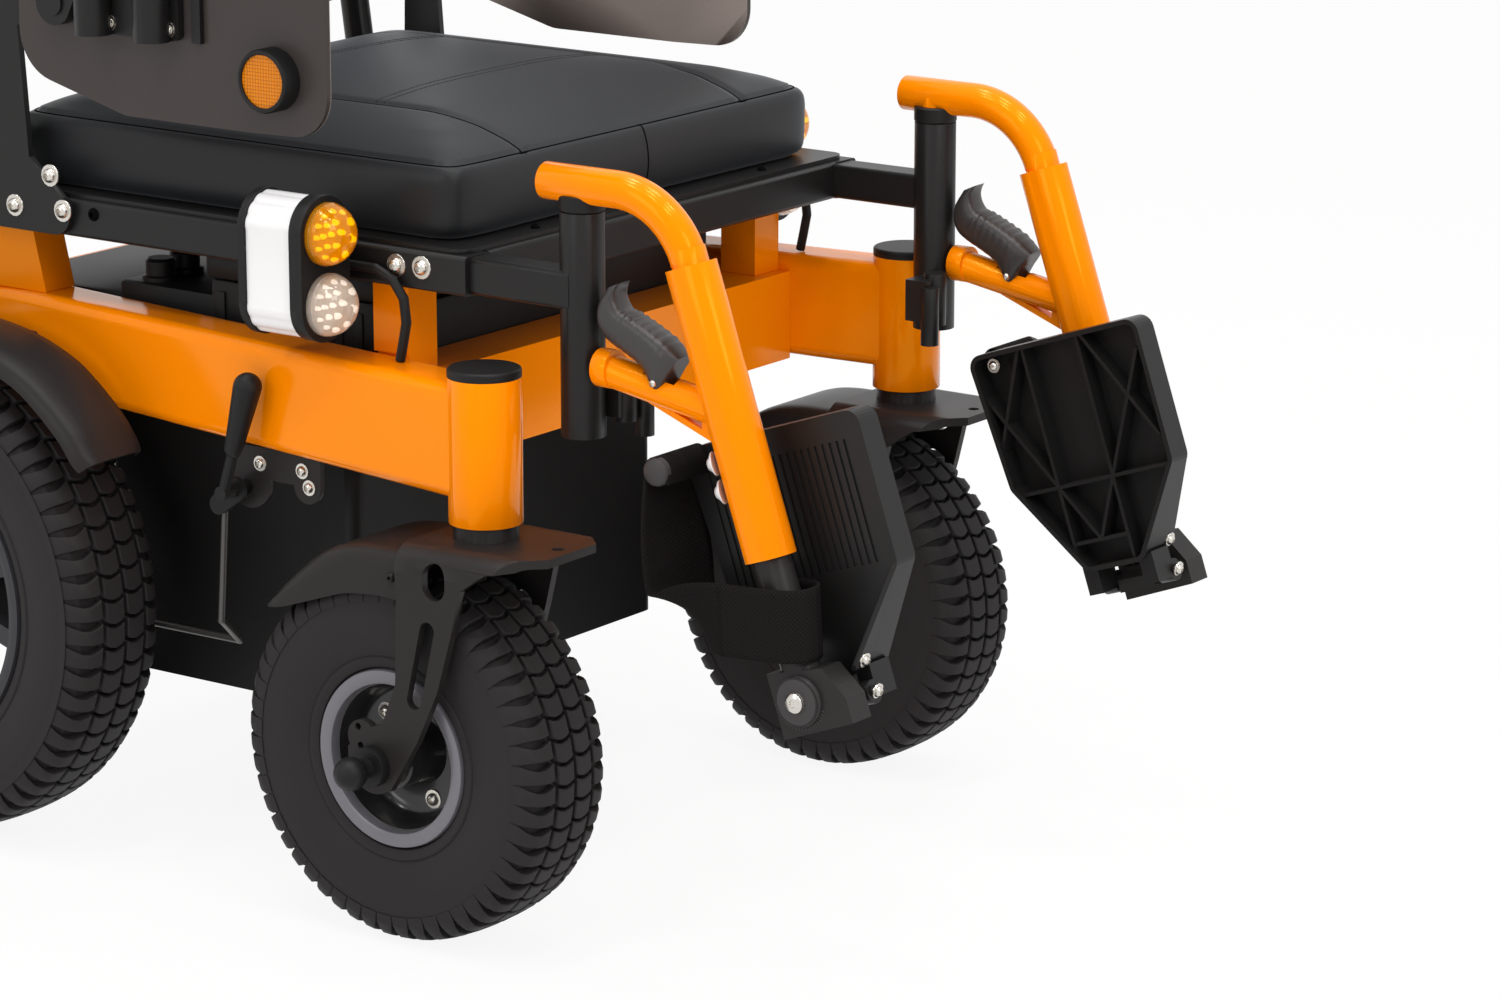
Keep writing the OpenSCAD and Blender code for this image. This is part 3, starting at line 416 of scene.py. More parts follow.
def curve_through(points: list[Vector], count: int) -> list[Vector]:
    """Samples a smooth curve through some points.

    Args:
        points: Points that the curve goes through.
        count: Number of samples.

    Returns:
        The samples, at even steps between the points.
    """
    ends = [2 * points[0] - points[1], *points, 2 * points[-1] - points[-2]]
    found = []
    for k in range(count):
        run = k / (count - 1) * (len(points) - 1)
        i = min(int(run), len(points) - 2)
        t = run - i
        a, b, c, d = ends[i:i + 4]
        found.append(0.5 * (2 * b + (c - a) * t + (2 * a - 5 * b + 4 * c - d) * t ** 2
                            + (3 * b - a - 3 * c + d) * t ** 3))
    return found


def side_curve(points: tuple[Pair, ...], count: int) -> list[Vector]:
    """A smooth curve in the YZ plane."""
    return curve_through([Vector((0.0, *point)) for point in points], count)


def of_kind(items: list, kind: type) -> list:
    """The items of one kind, such as the vertices that an operator made."""
    return [item for item in items if isinstance(item, kind)]


class Mould:
    """A mesh in the making, in millimetres, drawn for the chair's left side."""

    # Radius and height of a bolt's head, as shares of its radius
    DOME = ((0.0, 0.28), (0.36, 0.28), (0.42, 0.74), (0.62, 0.66), (0.86, 0.42), (1.0, 0.1), (1.0, 0.0))
    WASHER = 0.9
    SUNK = 0.4

    def __init__(self) -> None:
        """Starts with an empty mesh."""
        self.mesh = bmesh.new()

    def since(self, known: set[bmesh.types.BMVert]) -> list[bmesh.types.BMVert]:
        """The vertices that were added to the known ones."""
        return [vert for vert in self.mesh.verts if vert not in known]

    def geometry(self) -> list:
        """All that is drawn."""
        return [*self.mesh.verts, *self.mesh.edges, *self.mesh.faces]

    def soften(self, verts: list[bmesh.types.BMVert], width: float, segments: int = 2,
               limit: float = 30.0) -> None:
        """Bevels the sharp edges among some vertices.

        Args:
            verts: Vertices of the shape.
            width: Width of the bevel.
            segments: Number of its facets.
            limit: Smallest angle, in degrees, of an edge that is bevelled.
        """
        bmesh.ops.recalc_face_normals(self.mesh, faces=list({f for v in verts for f in v.link_faces}))
        edges = {e for v in verts for e in v.link_edges if len(e.link_faces) == 2}
        sharp = [e for e in edges if e.calc_face_angle(0.0) > math.radians(limit)]
        bmesh.ops.bevel(self.mesh, geom=sharp, offset=width, offset_type="OFFSET", affect="EDGES",
                        segments=segments, profile=0.5, material=-1, clamp_overlap=True)

    def turned(self, outline: list[Pair], place: Matrix, steps: int = 40) -> "Mould":
        """Spins an outline about the local Z axis.

        Args:
            outline: Radius and height of each point.
            place: Where the shape goes.
            steps: Number of facets in the turn.

        Returns:
            The mould itself.
        """
        known = set(self.mesh.verts)
        verts = [self.mesh.verts.new((r, 0.0, h)) for r, h in outline]
        edges = [self.mesh.edges.new(ends) for ends in zip(verts, verts[1:])]
        bmesh.ops.spin(self.mesh, geom=verts + edges, cent=(0, 0, 0), axis=(0, 0, 1), angle=math.tau,
                       steps=steps, use_merge=True)
        bmesh.ops.transform(self.mesh, matrix=place, verts=self.since(known))
        return self

    def raised(self, faces: list[bmesh.types.BMFace], height: float) -> list[bmesh.types.BMVert]:
        """Extrudes flat faces along Z.

        Args:
            faces: The faces.
            height: How far they are raised.

        Returns:
            The raised vertices.
        """
        made = bmesh.ops.extrude_face_region(self.mesh, geom=faces)
        lifted = of_kind(made["geom"], bmesh.types.BMVert)
        bmesh.ops.translate(self.mesh, vec=(0.0, 0.0, height), verts=lifted)
        return lifted

    def block(self, low: Point, high: Point, place: Matrix = Matrix(), soft: float = 1.0) -> None:
        """A bevelled block between two corners.

        Args:
            low: Lowest corner.
            high: Highest corner.
            place: Where the shape goes.
            soft: Width of its bevels.
        """
        known = set(self.mesh.verts)
        a, b = Vector(low), Vector(high)
        size = Matrix.Translation((a + b) / 2) @ Matrix.Diagonal((*(b - a), 1.0))
        bmesh.ops.create_cube(self.mesh, size=1.0, matrix=size)
        self.soften(self.since(known), soft)
        bmesh.ops.transform(self.mesh, matrix=place, verts=self.since(known))

    def loft(self, rings: list[list[Vector]]) -> None:
        """Draws a closed skin through rings of points.

        Args:
            rings: Rings with the same number of points each.
        """
        verts = [self.mesh.verts.new(point) for point in rings[0]]
        edges = [self.mesh.edges.new(ends) for ends in zip(verts, verts[1:] + verts[:1])]
        self.mesh.faces.new(verts)
        for ring in rings[1:]:
            made = bmesh.ops.extrude_edge_only(self.mesh, edges=edges)["geom"]
            fresh = set(of_kind(made, bmesh.types.BMVert))
            edges = of_kind(made, bmesh.types.BMEdge)
            verts = [next(e.other_vert(v) for e in v.link_edges if e.other_vert(v) in fresh) for v in verts]
            for vert, point in zip(verts, ring):
                vert.co = point
        self.mesh.faces.new(verts)

    def tube(self, path: list[Vector], radius: float, steps: int) -> None:
        """A round tube along a path.

        Args:
            path: Points of the middle line.
            radius: Radius of the tube.
            steps: Number of facets round it.
        """
        rings = []
        before = path[1] - path[0]
        turn = before.to_track_quat("Z", "Y")
        for spot, point in enumerate(path):
            ahead = path[min(spot + 1, len(path) - 1)] - path[max(spot - 1, 0)]
            turn = before.rotation_difference(ahead) @ turn
            before = ahead
            rings.append([point + turn @ Vector((radius * math.cos(a), radius * math.sin(a), 0.0))
                          for a in (math.tau * k / steps for k in range(steps))])
        self.loft(rings)

    def bolt(self, spot: Point, towards: Point, radius: float, washer: bool = True) -> None:
        """A domed bolt head with its socket.

        Args:
            spot: Where the head sits on its surface.
            towards: The way that the head faces.
            radius: Radius of the head.
            washer: Whether it has a washer.
        """
        place = Matrix.Translation(spot) @ Vector(towards).to_track_quat("Z", "Y").to_matrix().to_4x4()
        lift = self.WASHER if washer else 0.0
        head = [(r * radius, lift + h * radius) for r, h in self.DOME]
        if washer:
            head += [(1.45 * radius, lift), (1.5 * radius, 0.6 * lift), (1.5 * radius, -self.SUNK)]
        self.turned(head + [(0.0, -self.SUNK)], place, 14)

    def bolt_circle(self, centre: Point, out: float, circle: float, count: int, radius: float,
                    phase: float = 0.5, washer: bool = True) -> None:
        """Bolts on a circle about an X axis.

        Args:
            centre: Centre of the wheel.
            out: How far the bolts sit from it along X, which is also the way that they face.
            circle: Radius of the circle.
            count: Number of bolts.
            radius: Radius of a bolt's head.
            phase: Place of the first bolt, as a share of the pitch.
            washer: Whether they have washers.
        """
        for k in range(count):
            angle = math.tau * (k + phase) / count
            spot = Vector(centre) + Vector((out, circle * math.cos(angle), circle * math.sin(angle)))
            self.bolt(spot, (math.copysign(1.0, out), 0, 0), radius, washer)

    def mirror(self) -> None:
        """Adds the right side's copy of all that is drawn."""
        made = bmesh.ops.duplicate(self.mesh, geom=self.geometry())["geom"]
        bmesh.ops.transform(self.mesh, matrix=Side.RIGHT.flip, verts=of_kind(made, bmesh.types.BMVert))

    def settle(self, name: str, finish: Finish, body: str, side: Side = Side.LEFT, smooth: float = SMOOTH,
               stands_for: tuple[str, ...] = ()) -> bpy.types.Object:
        """Makes the finished piece.

        Args:
            name: The piece's name.
            finish: Its finish.
            body: The body that it rides on.
            side: The side that it belongs to.
            smooth: Largest angle, in degrees, that is shaded smooth.
            stands_for: Nodes that it replaces.

        Returns:
            The piece.
        """
        bmesh.ops.remove_doubles(self.mesh, verts=self.mesh.verts, dist=0.004)
        bmesh.ops.transform(self.mesh, matrix=TO_SCENE @ side.flip, verts=self.mesh.verts)
        bmesh.ops.recalc_face_normals(self.mesh, faces=self.mesh.faces)
        return adopt(name, to_data(self.mesh, name), finish, body, smooth, stands_for)


def to_data(mesh: bmesh.types.BMesh, name: str) -> bpy.types.Mesh:
    """Turns a mesh in the making into mesh data.

    Args:
        mesh: The mesh, which is freed.
        name: The data's name.

    Returns:
        The mesh data.
    """
    data = bpy.data.meshes.new(name)
    mesh.to_mesh(data)
    mesh.free()
    return data


def node_mesh(name: str) -> bmesh.types.BMesh:
    """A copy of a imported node's mesh, with its corners joined.

    Args:
        name: The node's name.

    Returns:
        The mesh, in the scene's frame.
    """
    mesh = bmesh.new()
    mesh.from_mesh(frame["nodes"][name].data)
    bmesh.ops.remove_doubles(mesh, verts=mesh.verts, dist=1e-5)
    return mesh


def place_object(name: str, data: bpy.types.ID) -> bpy.types.Object:
    """Links a new object to the scene.

    Args:
        name: The object's name.
        data: Its mesh, lamp or camera.

    Returns:
        The object.
    """
    made = bpy.data.objects.new(name, data)
    bpy.context.scene.collection.objects.link(made)
    return made


def adopt(name: str, data: bpy.types.Mesh, finish: Finish, body: str, smooth: float = SMOOTH,
          stands_for: tuple[str, ...] = ()) -> bpy.types.Object:
    """Puts a mesh into the scene as a piece.

    Args:
        name: The piece's name.
        data: Its mesh, in the scene's frame.
        finish: Its finish.
        body: The body that it rides on, or an empty word to leave it unattached.
        smooth: Largest angle, in degrees, that is shaded smooth.
        stands_for: Nodes that it replaces.

    Returns:
        The piece.
    """
    data.shade_smooth()
    data.set_sharp_from_angle(angle=math.radians(smooth))
    data.materials.clear()
    data.materials.append(finish.material())
    piece = place_object(name, data)
    if body:
        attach(piece, body)
    if stands_for:
        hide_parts(*stands_for)
    log.info("%s: %d faces on %s", name, len(data.polygons), body)
    return piece


@dataclass
class SidePart:
    """A sub-assembly that both sides of the chair have."""

    side: Side

    def own(self, word: str) -> str:
        """A name with this side's word at its end."""
        return f"{word}_{self.side.tag}"

    def settle(self, mould: Mould, name: str, finish: Finish, body: str, node: str = "",
               smooth: float = SMOOTH) -> bpy.types.Object:
        """Makes one finished piece of this side.

        Args:
            mould: Its mesh.
            name: The piece's name, without its side.
            finish: Its finish.
            body: The body that it rides on.
            node: The node that it replaces, without its side.
            smooth: Largest angle, in degrees, that is shaded smooth.

        Returns:
            The piece.
        """
        stands_for = (self.own(node),) if node else ()
        return mould.settle(self.own(name), finish, body, self.side, smooth, stands_for)


# The studio


@dataclass
class Studio:
    """The floor, the light and the camera."""

    spot: Point = (-2.78272, -2.23362, 1.13421)
    tilt: float = 75.7697
    heading: float = -54.2576
    lens: float = 121.25
    ground: float = 40.0
    ceiling: float = 3.2
    corner: Pair = (-1.5, -1.3)
    gap: float = 0.95
    aim: Point = (0.0, 0.0, 0.4)

    def build(self) -> None:
        """Sets up the camera, the floor, the world and the lamps."""
        bpy.context.scene.view_settings.view_transform = "Standard"
        self.camera()
        self.floor()
        self.sky()
        for row in range(3):
            for column in range(3):
                x = self.corner[0] + self.gap * column
                y = self.corner[1] + self.gap * row
                below = (0.8 * x, 0.8 * y, 0.0)
                self.lamp(f"ceiling_lamp_{row}_{column}", (x, y, self.ceiling), below, 0.42, 8.0)
        self.lamp("key_lamp", (-1.4, -3.0, 2.4), self.aim, 1.2, 22.0)
        self.lamp("side_lamp", (-3.2, 0.6, 1.8), self.aim, 1.2, 12.0)

    def camera(self) -> None:
        """The camera, at the photograph's place."""
        data = bpy.data.cameras.new("camera")
        data.lens = self.lens
        data.sensor_width = 36.0
        data.clip_end = 100.0
        eye = place_object("camera", data)
        eye.location = self.spot
        eye.rotation_euler = (math.radians(self.tilt), 0.0, math.radians(self.heading))
        bpy.context.scene.camera = eye

    @staticmethod
    def backdrop(tree: bpy.types.NodeTree) -> bpy.types.NodeSocket:
        """Adds a mask of the rays that see the white background.

        Args:
            tree: The node tree.

        Returns:
            The mask's socket.
        """
        path = tree.nodes.new("ShaderNodeLightPath").outputs
        either = Effects.maths(tree, "MAXIMUM", path["Is Camera Ray"], path["Is Glossy Ray"])
        return Effects.maths(tree, "MAXIMUM", either, path["Is Transmission Ray"])

    def floor(self) -> None:
        """A pale floor that keeps the shadows."""
        mesh = bmesh.new()
        bmesh.ops.create_grid(mesh, x_segments=1, y_segments=1, size=self.ground)
        bmesh.ops.translate(mesh, vec=(0.0, 0.0, -0.4 * MM), verts=mesh.verts)
        data = to_data(mesh, "floor")
        pale = bpy.data.materials.new("pale_floor")
        pale.use_nodes = True
        tree = pale.node_tree
        matt = tree.nodes["Principled BSDF"]
        Effects.feed(matt, {"Base Color": (0.94, 0.925, 0.915, 1.0), "Roughness": 0.55})
        glow = tree.nodes.new("ShaderNodeEmission")
        share = Effects.maths(tree, "MULTIPLY", self.backdrop(tree), 0.9)
        mixed = Effects.node(tree, "MixShader", {0: share, 1: matt.outputs[0], 2: glow.outputs[0]})
        Effects.feed(tree.nodes["Material Output"], {"Surface": mixed.outputs[0]})
        data.materials.append(pale)
        place_object("floor", data)

    def sky(self) -> None:
        """White to the camera and in reflections, and a plain level of light."""
        world = bpy.data.worlds.new("studio")
        world.use_nodes = True
        tree = world.node_tree
        extra = Effects.maths(tree, "MULTIPLY", self.backdrop(tree), 0.33)
        strength = Effects.maths(tree, "ADD", extra, 0.67)
        Effects.feed(tree.nodes["Background"], {"Color": (1.0, 1.0, 1.0, 1.0), "Strength": strength})
        bpy.context.scene.world = world

    @staticmethod
    def lamp(name: str, spot: Point, target: Point, size: float, power: float) -> None:
        """A soft square lamp.

        Args:
            name: The lamp's name.
            spot: Where it stands.
            target: What it points at.
            size: Length of its side.
            power: Power in watts.
        """
        data = bpy.data.lights.new(name, "AREA")
        data.size = size
        data.energy = power
        lamp = place_object(name, data)
        lamp.location = spot
        lamp.rotation_euler = (Vector(target) - Vector(spot)).to_track_quat("-Z", "Y").to_euler()


# Wheels


@dataclass
class BlockTyre(SidePart):
    """A pneumatic tyre with two staggered columns of chevron blocks and shoulder lugs."""

    name: str
    node: str
    body: str
    centre: Point
    radius: float
    half_width: float
    rim: float
    bead: float
    pitches: int
    depth: float = 6.0
    root: float = 1.4
    chamfer: float = 0.7
    draft: Point = (0.96, 0.94, 1.0)
    rounding: float = 0.026
    shoulder_drop: float = 0.1
    shoulder_fade: float = 0.35
    stagger: float = 0.15
    lug_start: float = 0.25
    columns: tuple = ((0.028, 0.07, 0.93), (0.1, -0.05, 0.82), (0.225, -0.13, 0.75), (0.35, -0.05, 0.82),
                      (0.43, 0.07, 0.93))
    lugs: tuple = ((0.485, 0.0, 0.84), (0.58, -0.05, 0.7), (0.7, -0.05, 0.58), (0.82, -0.02, 0.6),
                   (0.92, 0.0, 0.74), (1.0, -0.03, 0.98))

    def below_crown(self, share: float, depth: float) -> float:
        """Radius at a depth under the tread, at a share of the half width."""
        crown = self.radius * (1.0 - self.rounding * share ** 2 - self.shoulder_drop * share ** 10)
        return crown - depth * (1.0 - self.shoulder_fade * share ** 8)

    def outline(self) -> list[Pair]:
        """Radius and place across of the carcass, from one bead to the other.

        Returns:
            The closed outline.
        """
        r, w, rim, bead = self.radius, self.half_width, self.rim, self.bead
        middle = (r + rim) / 2
        half = [(rim + 0.15, bead), (rim + 1.5, bead + 2.6), (rim + 5.0, bead + 4.4), (rim + 8.0, bead + 4.6),
                (rim + 9.2, bead + 3.6), (rim + 10.6, bead + 4.6), (middle - 9, w - 1.0), (middle, w),
                (middle + 0.09 * r, w - 0.5), (0.875 * r, 0.975 * w)]
        tread = [(self.below_crown(s, self.depth), s * w) for s in (0.93, 0.8, 0.6, 0.4, 0.2, 0.0)]
        top = half + tread
        return top + [(a, -b) for a, b in reversed(top[:-1])] + [half[0]]

    def strip(self, mould: Mould, stations: tuple, side: int, shift: float) -> None:
        """Adds one raised block, wrapped onto the tread.

        Args:
            mould: The mesh in the making.
            stations: Place across, and start and end along the pitch.
            side: The side of the tread, 1 or -1.
            shift: Start of the block along the pitch.
        """
        known = set(mould.mesh.verts)
        step = math.tau * self.radius / self.pitches
        height = self.depth + self.root
        rows = [[mould.mesh.verts.new((side * s * self.half_width, (u + shift) * step, 0.0)) for u in span]
                for s, *span in stations]
        faces = [mould.mesh.faces.new((a[0], b[0], b[1], a[1])) for a, b in zip(rows, rows[1:])]
        lifted = mould.raised(faces, height)
        middle = sum((v.co for v in lifted), Vector()) / len(lifted)
        bmesh.ops.scale(mould.mesh, vec=self.draft, verts=lifted, space=Matrix.Translation(-middle))
        mould.soften(mould.since(known), self.chamfer, 1, 40.0)
        for vert in mould.since(known):
            share = min(abs(vert.co.x) / self.half_width, 1.0)
            radius = self.below_crown(share, height - vert.co.z)
            angle = vert.co.y / self.radius
            vert.co = (vert.co.x, radius * math.sin(angle), radius * math.cos(angle))

    def build(self) -> None:
        """Builds the tyre."""
        mould = Mould()
        for sign, shift in ((1, 0.0), (-1, self.stagger)):
            self.strip(mould, self.columns, sign, shift)
            self.strip(mould, self.lugs, sign, shift + self.lug_start)
        turn = math.tau / self.pitches
        bmesh.ops.spin(mould.mesh, geom=mould.geometry(), cent=(0, 0, 0), axis=(1, 0, 0),
                       steps=self.pitches - 1, angle=math.tau - turn, use_duplicate=True)
        mould.turned(self.outline(), crosswise(0.0), 96)
        bmesh.ops.translate(mould.mesh, vec=self.centre, verts=mould.mesh.verts)
        self.settle(mould, self.name, TYRE, self.own(self.body), self.node, 32.0)


@dataclass
class CasterRim(SidePart):
    """A pale lip, a gloss dish with a bolt circle, and the bearings."""

    lip: tuple = ((62.0, 26.0), (62.0, 34.6), (61.2, 37.0), (59.6, 37.8), (54.0, 37.2), (52.2, 36.2),
                  (51.4, 34.0), (51.2, 28.0))
    dish: tuple = ((52.0, 30.0), (50.6, 29.4), (50.0, 26.0), (48.8, 15.0), (46.0, 8.5), (42.0, 5.5),
                   (30.0, 4.5), (24.5, 6.5), (22.0, 12.0), (21.2, 33.0), (20.4, 37.4), (18.4, 38.2),
                   (17.0, 37.2))
    bearing: tuple = ((17.0, 37.2), (16.6, 42.4), (15.6, 43.0), (12.6, 43.0), (12.0, 42.0), (10.15, 42.0))

    @staticmethod
    def both(half: tuple[Pair, ...]) -> list[Pair]:
        """An outline and its mirror image, as one line."""
        return [*half, *((r, -x) for r, x in reversed(half))]

    def build(self) -> None:
        """Builds the lip, the dish and the hardware."""
        body, place = self.own("caster_wheel"), crosswise(*CASTER_WHEEL)
        lip = Mould().turned([*self.both(self.lip), self.lip[0]], place, 72)
        self.settle(lip, "caster_lip", PALE_ALLOY, body, "caster_rim", 40.0)
        dish = Mould().turned(self.both(self.dish), place, 64)
        self.settle(dish, "caster_dish", GLOSS_DISH, body)
        metal = Mould().turned([*self.both(self.bearing), self.bearing[0]], place)
        for out in (4.8, -4.8):
            metal.bolt_circle(CASTER_WHEEL, out, 36.0, 5, 4.6)
        self.settle(metal, "caster_hub_metal", STEEL, body)


@dataclass
class RearRim(SidePart):
    """The rounded lip, the hub cover and the bolt circles of a rear rim."""

    lip: tuple = ((104.0, 30.0), (104.0, 38.0), (105.2, 40.4), (108.5, 41.2), (111.5, 40.0), (112.6, 37.0))
    cap: tuple = ((0.0, 41.0), (8.0, 40.6), (15.0, 38.4), (19.0, 34.6), (20.4, 33.0), (20.4, 25.0))

    def build(self) -> None:
        """Builds the parts that dress the rim."""
        body, place = self.own("rear_wheel"), crosswise(*REAR_WHEEL)
        lip = Mould()
        for sign in (1, -1):
            lip.turned([(r, sign * x) for r, x in (*self.lip, self.lip[0])], place, 96)
        self.settle(lip, "rear_lip", DARK_ALLOY, body)
        self.settle(Mould().turned(self.cap, place), "rear_hub_cap", PLASTIC, body)
        metal = Mould()
        metal.bolt_circle(REAR_WHEEL, 12.0, 100.5, 12, 4.2)
        metal.bolt_circle(REAR_WHEEL, 26.0, 27.0, 5, 4.0, 0.0, False)
        self.settle(metal, "rear_bolts", STEEL, body)


# Soft pieces


@dataclass(frozen=True)
class Seam:
    """A sewn line on a cushion, along one of its local axes."""

    along_x: bool
    place: float
    start: float
    end: float
    rows: tuple = ()
    creased: bool = True

    def flat(self, run: float, aside: float = 0.0) -> Pair:
        """The place on the top at a run along the seam, and aside from it."""
        off = self.place + aside
        return (run, off) if self.along_x else (off, run)


@dataclass
class Cushion:
    """A padded cushion that is inflated between its seams."""

    name: str
    node: str
    body: str
    place: Matrix
    half_x: float
    half_y: float
    height: float
    seams: tuple = ()
    side: Side = Side.LEFT
    voxel: float = 5.0
    pressure: float = 4.0
    cap: float = 6.0
    fill: float = 0.85
    corner: float = 7.14
    edge: float = 5.0
    front_seam: float | None = None
    frames: int = 20
    stiffness: float = 12.0
    bending: float = 1.5
    edge_groove: Pair = (1.2, 2.6)
    top_groove: Pair = (1.8, 3.4)
    # Radius of the near-black line that paints the shade in each groove
    crease: float = 0.75
    thread: float = 0.4
    stitch: float = 3.4
    stitch_step: float = 4.8

    def reach(self, spot: Vector) -> float:
        """How near a local point is to the cushion's side, where 1 is on it."""
        shares = abs(spot.x / self.half_x) ** self.corner + abs(spot.y / self.half_y) ** self.corner
        return shares ** (1 / self.corner)

    def edge_seam(self, spot: Vector) -> float:
        """Distance of a local point from the seam round the top."""
        return abs(spot.z - self.height + 0.5) if self.reach(spot) > 0.955 else AWAY

    def top_seam(self, spot: Vector) -> float:
        """Distance of a local point from the nearest seam on the top.

        Args:
            spot: The point.

        Returns:
            The distance in millimetres.
        """
        if spot.z < self.height - 1.5 or self.reach(spot) > 0.985:
            return AWAY
        found = AWAY
        for seam in self.seams:
            run, off = (spot.x, spot.y) if seam.along_x else (spot.y, spot.x)
            if seam.creased and seam.start <= run <= seam.end:
                found = min(found, abs(off - seam.place))
        return found

    def blank(self) -> bpy.types.Object:
        """Copies the node's mesh and remeshes it evenly.

        Returns:
            A loose object with the even mesh.
        """
        loose = place_object(self.name + "_blank", to_data(node_mesh(self.node), self.name))
        even = loose.modifiers.new("Even", "REMESH")
        even.mode = "VOXEL"
        even.voxel_size = self.voxel * MM
        loose.data = self.applied(loose)
        loose.modifiers.clear()
        return loose

    @staticmethod
    def applied(loose: bpy.types.Object) -> bpy.types.Mesh:
        """The object's mesh with its modifiers applied."""
        graph = bpy.context.evaluated_depsgraph_get()
        return bpy.data.meshes.new_from_object(loose.evaluated_get(graph), depsgraph=graph)

    def inflate(self, loose: bpy.types.Object, local: Matrix) -> None:
        """Blows the cover up between its seams.

        Args:
            loose: The object with the even mesh.
            local: From the scene to the cushion's own frame.
        """
        still = [v.co.copy() for v in loose.data.vertices]
        held = loose.vertex_groups.new(name="held")
        for vert in loose.data.vertices:
            spot = local @ vert.co
            seam = min(self.edge_seam(spot), self.top_seam(spot))
            if spot.z < 1.5 or seam < 0.6 * self.voxel:
                held.add([vert.index], 1.0, "REPLACE")
        cloth = loose.modifiers.new("Cover", "CLOTH").settings
        cloth.vertex_group_mass = "held"
        cloth.use_pressure = True
        cloth.uniform_pressure_force = self.pressure
        cloth.effector_weights.gravity = 0.0
        cloth.tension_stiffness = self.stiffness
        cloth.compression_stiffness = self.stiffness
        cloth.bending_stiffness = self.bending
        scene = bpy.context.scene
        for number in range(1, self.frames + 1):
            scene.frame_set(number)
        blown = self.applied(loose)
        for vert, old in zip(blown.vertices, still):
            move = vert.co - old
            vert.co = old + move * min(1.0, self.cap * MM / max(move.length, 1e-9))
        loose.modifiers.clear()
        loose.data = blown
        scene.frame_set(1)

    def carve(self, data: bpy.types.Mesh, local: Matrix) -> None:
        """Sinks the seams into the cover.

        Args:
            data: The fine mesh.
            local: From the scene to the cushion's own frame.
        """
        moves = []
        for vert in data.vertices:
            spot = local @ vert.co
            sunk = sum(depth * math.exp(-(away / width) ** 2) for away, (depth, width) in (
                (self.edge_seam(spot), self.edge_groove), (self.top_seam(spot), self.top_groove)))
            moves.append(vert.normal.copy() * -sunk * MM)
        for vert, move in zip(data.vertices, moves):
            vert.co += move

    def rim_path(self, steps: int = 288) -> list[tuple[Vector, Vector]]:
        """The way of the seam round the top.

        Args:
            steps: Number of points.

        Returns:
            Points near the seam, each with the way from there into the cover.
        """
        power = 2.0 / self.corner
        path = []
        for k in range(steps + 1):
            turn = math.tau * k / steps
            c, s = math.cos(turn), math.sin(turn)
            out = Vector((signed_power(c, 2 - power) / self.half_x,
                          signed_power(s, 2 - power) / self.half_y, 0.0))
            spot = Vector((signed_power(c, power) * (self.half_x - self.edge),
                           signed_power(s, power) * (self.half_y - self.edge), self.height))
            path.append((spot, (-out.normalized() - UP).normalized()))
        return path

    def creases(self, tree: BVHTree) -> None:
        """Lays a near-black line in each seam's groove, which paints the shade of the crease.

        Args:
            tree: The cover's surface in the cushion's own frame.
        """
        paths = [self.rim_path()]
        for seam in self.seams:
            if seam.creased:
                runs = [seam.start + (seam.end - seam.start) * k / 120 for k in range(121)]
                paths.append([(Vector((*seam.flat(run), self.height)), -UP) for run in runs])
        if self.front_seam is not None:
            heights = [self.height * (0.06 + 0.9 * k / 30) for k in range(31)]
            paths.append([(Vector((self.front_seam, -self.half_y, z)), Vector((0, 1, 0))) for z in heights])
        mould = Mould()
        for path in paths:
            hits = [tree.ray_cast(spot - way * 60.0, way)[0] for spot, way in path]
            line = [hit + way * 0.25 for hit, (_, way) in zip(hits, path) if hit]
            mould.tube([self.place @ point for point in line], self.crease, 6)
        mould.settle(f"{self.name}_creases", SHADE_LINE_AND_PLUG, self.body, self.side, 60.0)

    def stitches(self, tree: BVHTree) -> None:
        """Lays thread along the rows of the top.

        Args:
            tree: The cover's surface in the cushion's own frame.
        """
        mould = Mould()
        for seam, row in [(seam, row) for seam in self.seams for row in seam.rows]:
            run = seam.start
            along = Vector((1, 0, 0)) if seam.along_x else Vector((0, 1, 0))
            while run < seam.end:
                above = Vector((*seam.flat(run, row), self.height + 80.0))
                hit, normal, _, _ = tree.ray_cast(above, -UP)
                if hit and self.reach(hit) < 0.97:
                    ahead = (along - normal * along.dot(normal)).normalized()
                    turn = ahead.to_track_quat("Z", "Y").to_matrix().to_4x4()
                    place = self.place @ Matrix.Translation(hit) @ turn
                    bmesh.ops.create_cone(mould.mesh, cap_ends=True, segments=6, radius1=self.thread,
                                          radius2=self.thread, depth=self.stitch, matrix=place)
                run += self.stitch_step
        mould.settle(f"{self.name}_stitches", THREAD, self.body, self.side, 60.0)

    def build(self) -> None:
        """Builds the cushion, the painted shade lines in its seams and its stitching."""
        local = (TO_SCENE @ self.side.flip @ self.place).inverted()
        loose = self.blank()
        self.inflate(loose, local)
        finer = loose.modifiers.new("Finer", "SUBSURF")
        finer.levels = finer.render_levels = 1
        data = self.applied(loose)
        bpy.data.objects.remove(loose)
        self.carve(data, local)
        spots = [local @ vert.co for vert in data.vertices]
        tree = BVHTree.FromPolygons(spots, [face.vertices for face in data.polygons])
        self.creases(tree)
        if any(seam.rows for seam in self.seams):
            self.stitches(tree)
        piece = adopt(self.name, data, LEATHER, self.body, 80.0, (self.node,))


def panel_seams(aside: float, half: float, rows: Pair, reach: float) -> tuple[Seam, ...]:
    """The seams of a cover in three panels, with two stitched rows across the middle one.

    Args:
        aside: Distance of the long seams from the middle.
        half: Half their length.
        rows: Places of the stitched rows.
        reach: Half their length.

    Returns:
        The seams.
    """
    sides = [Seam(False, place, -half, half) for place in (-aside, aside)]
    across = [Seam(True, place, -reach, reach, (-3.6, 3.6), False) for place in rows]
    return (*sides, *across)


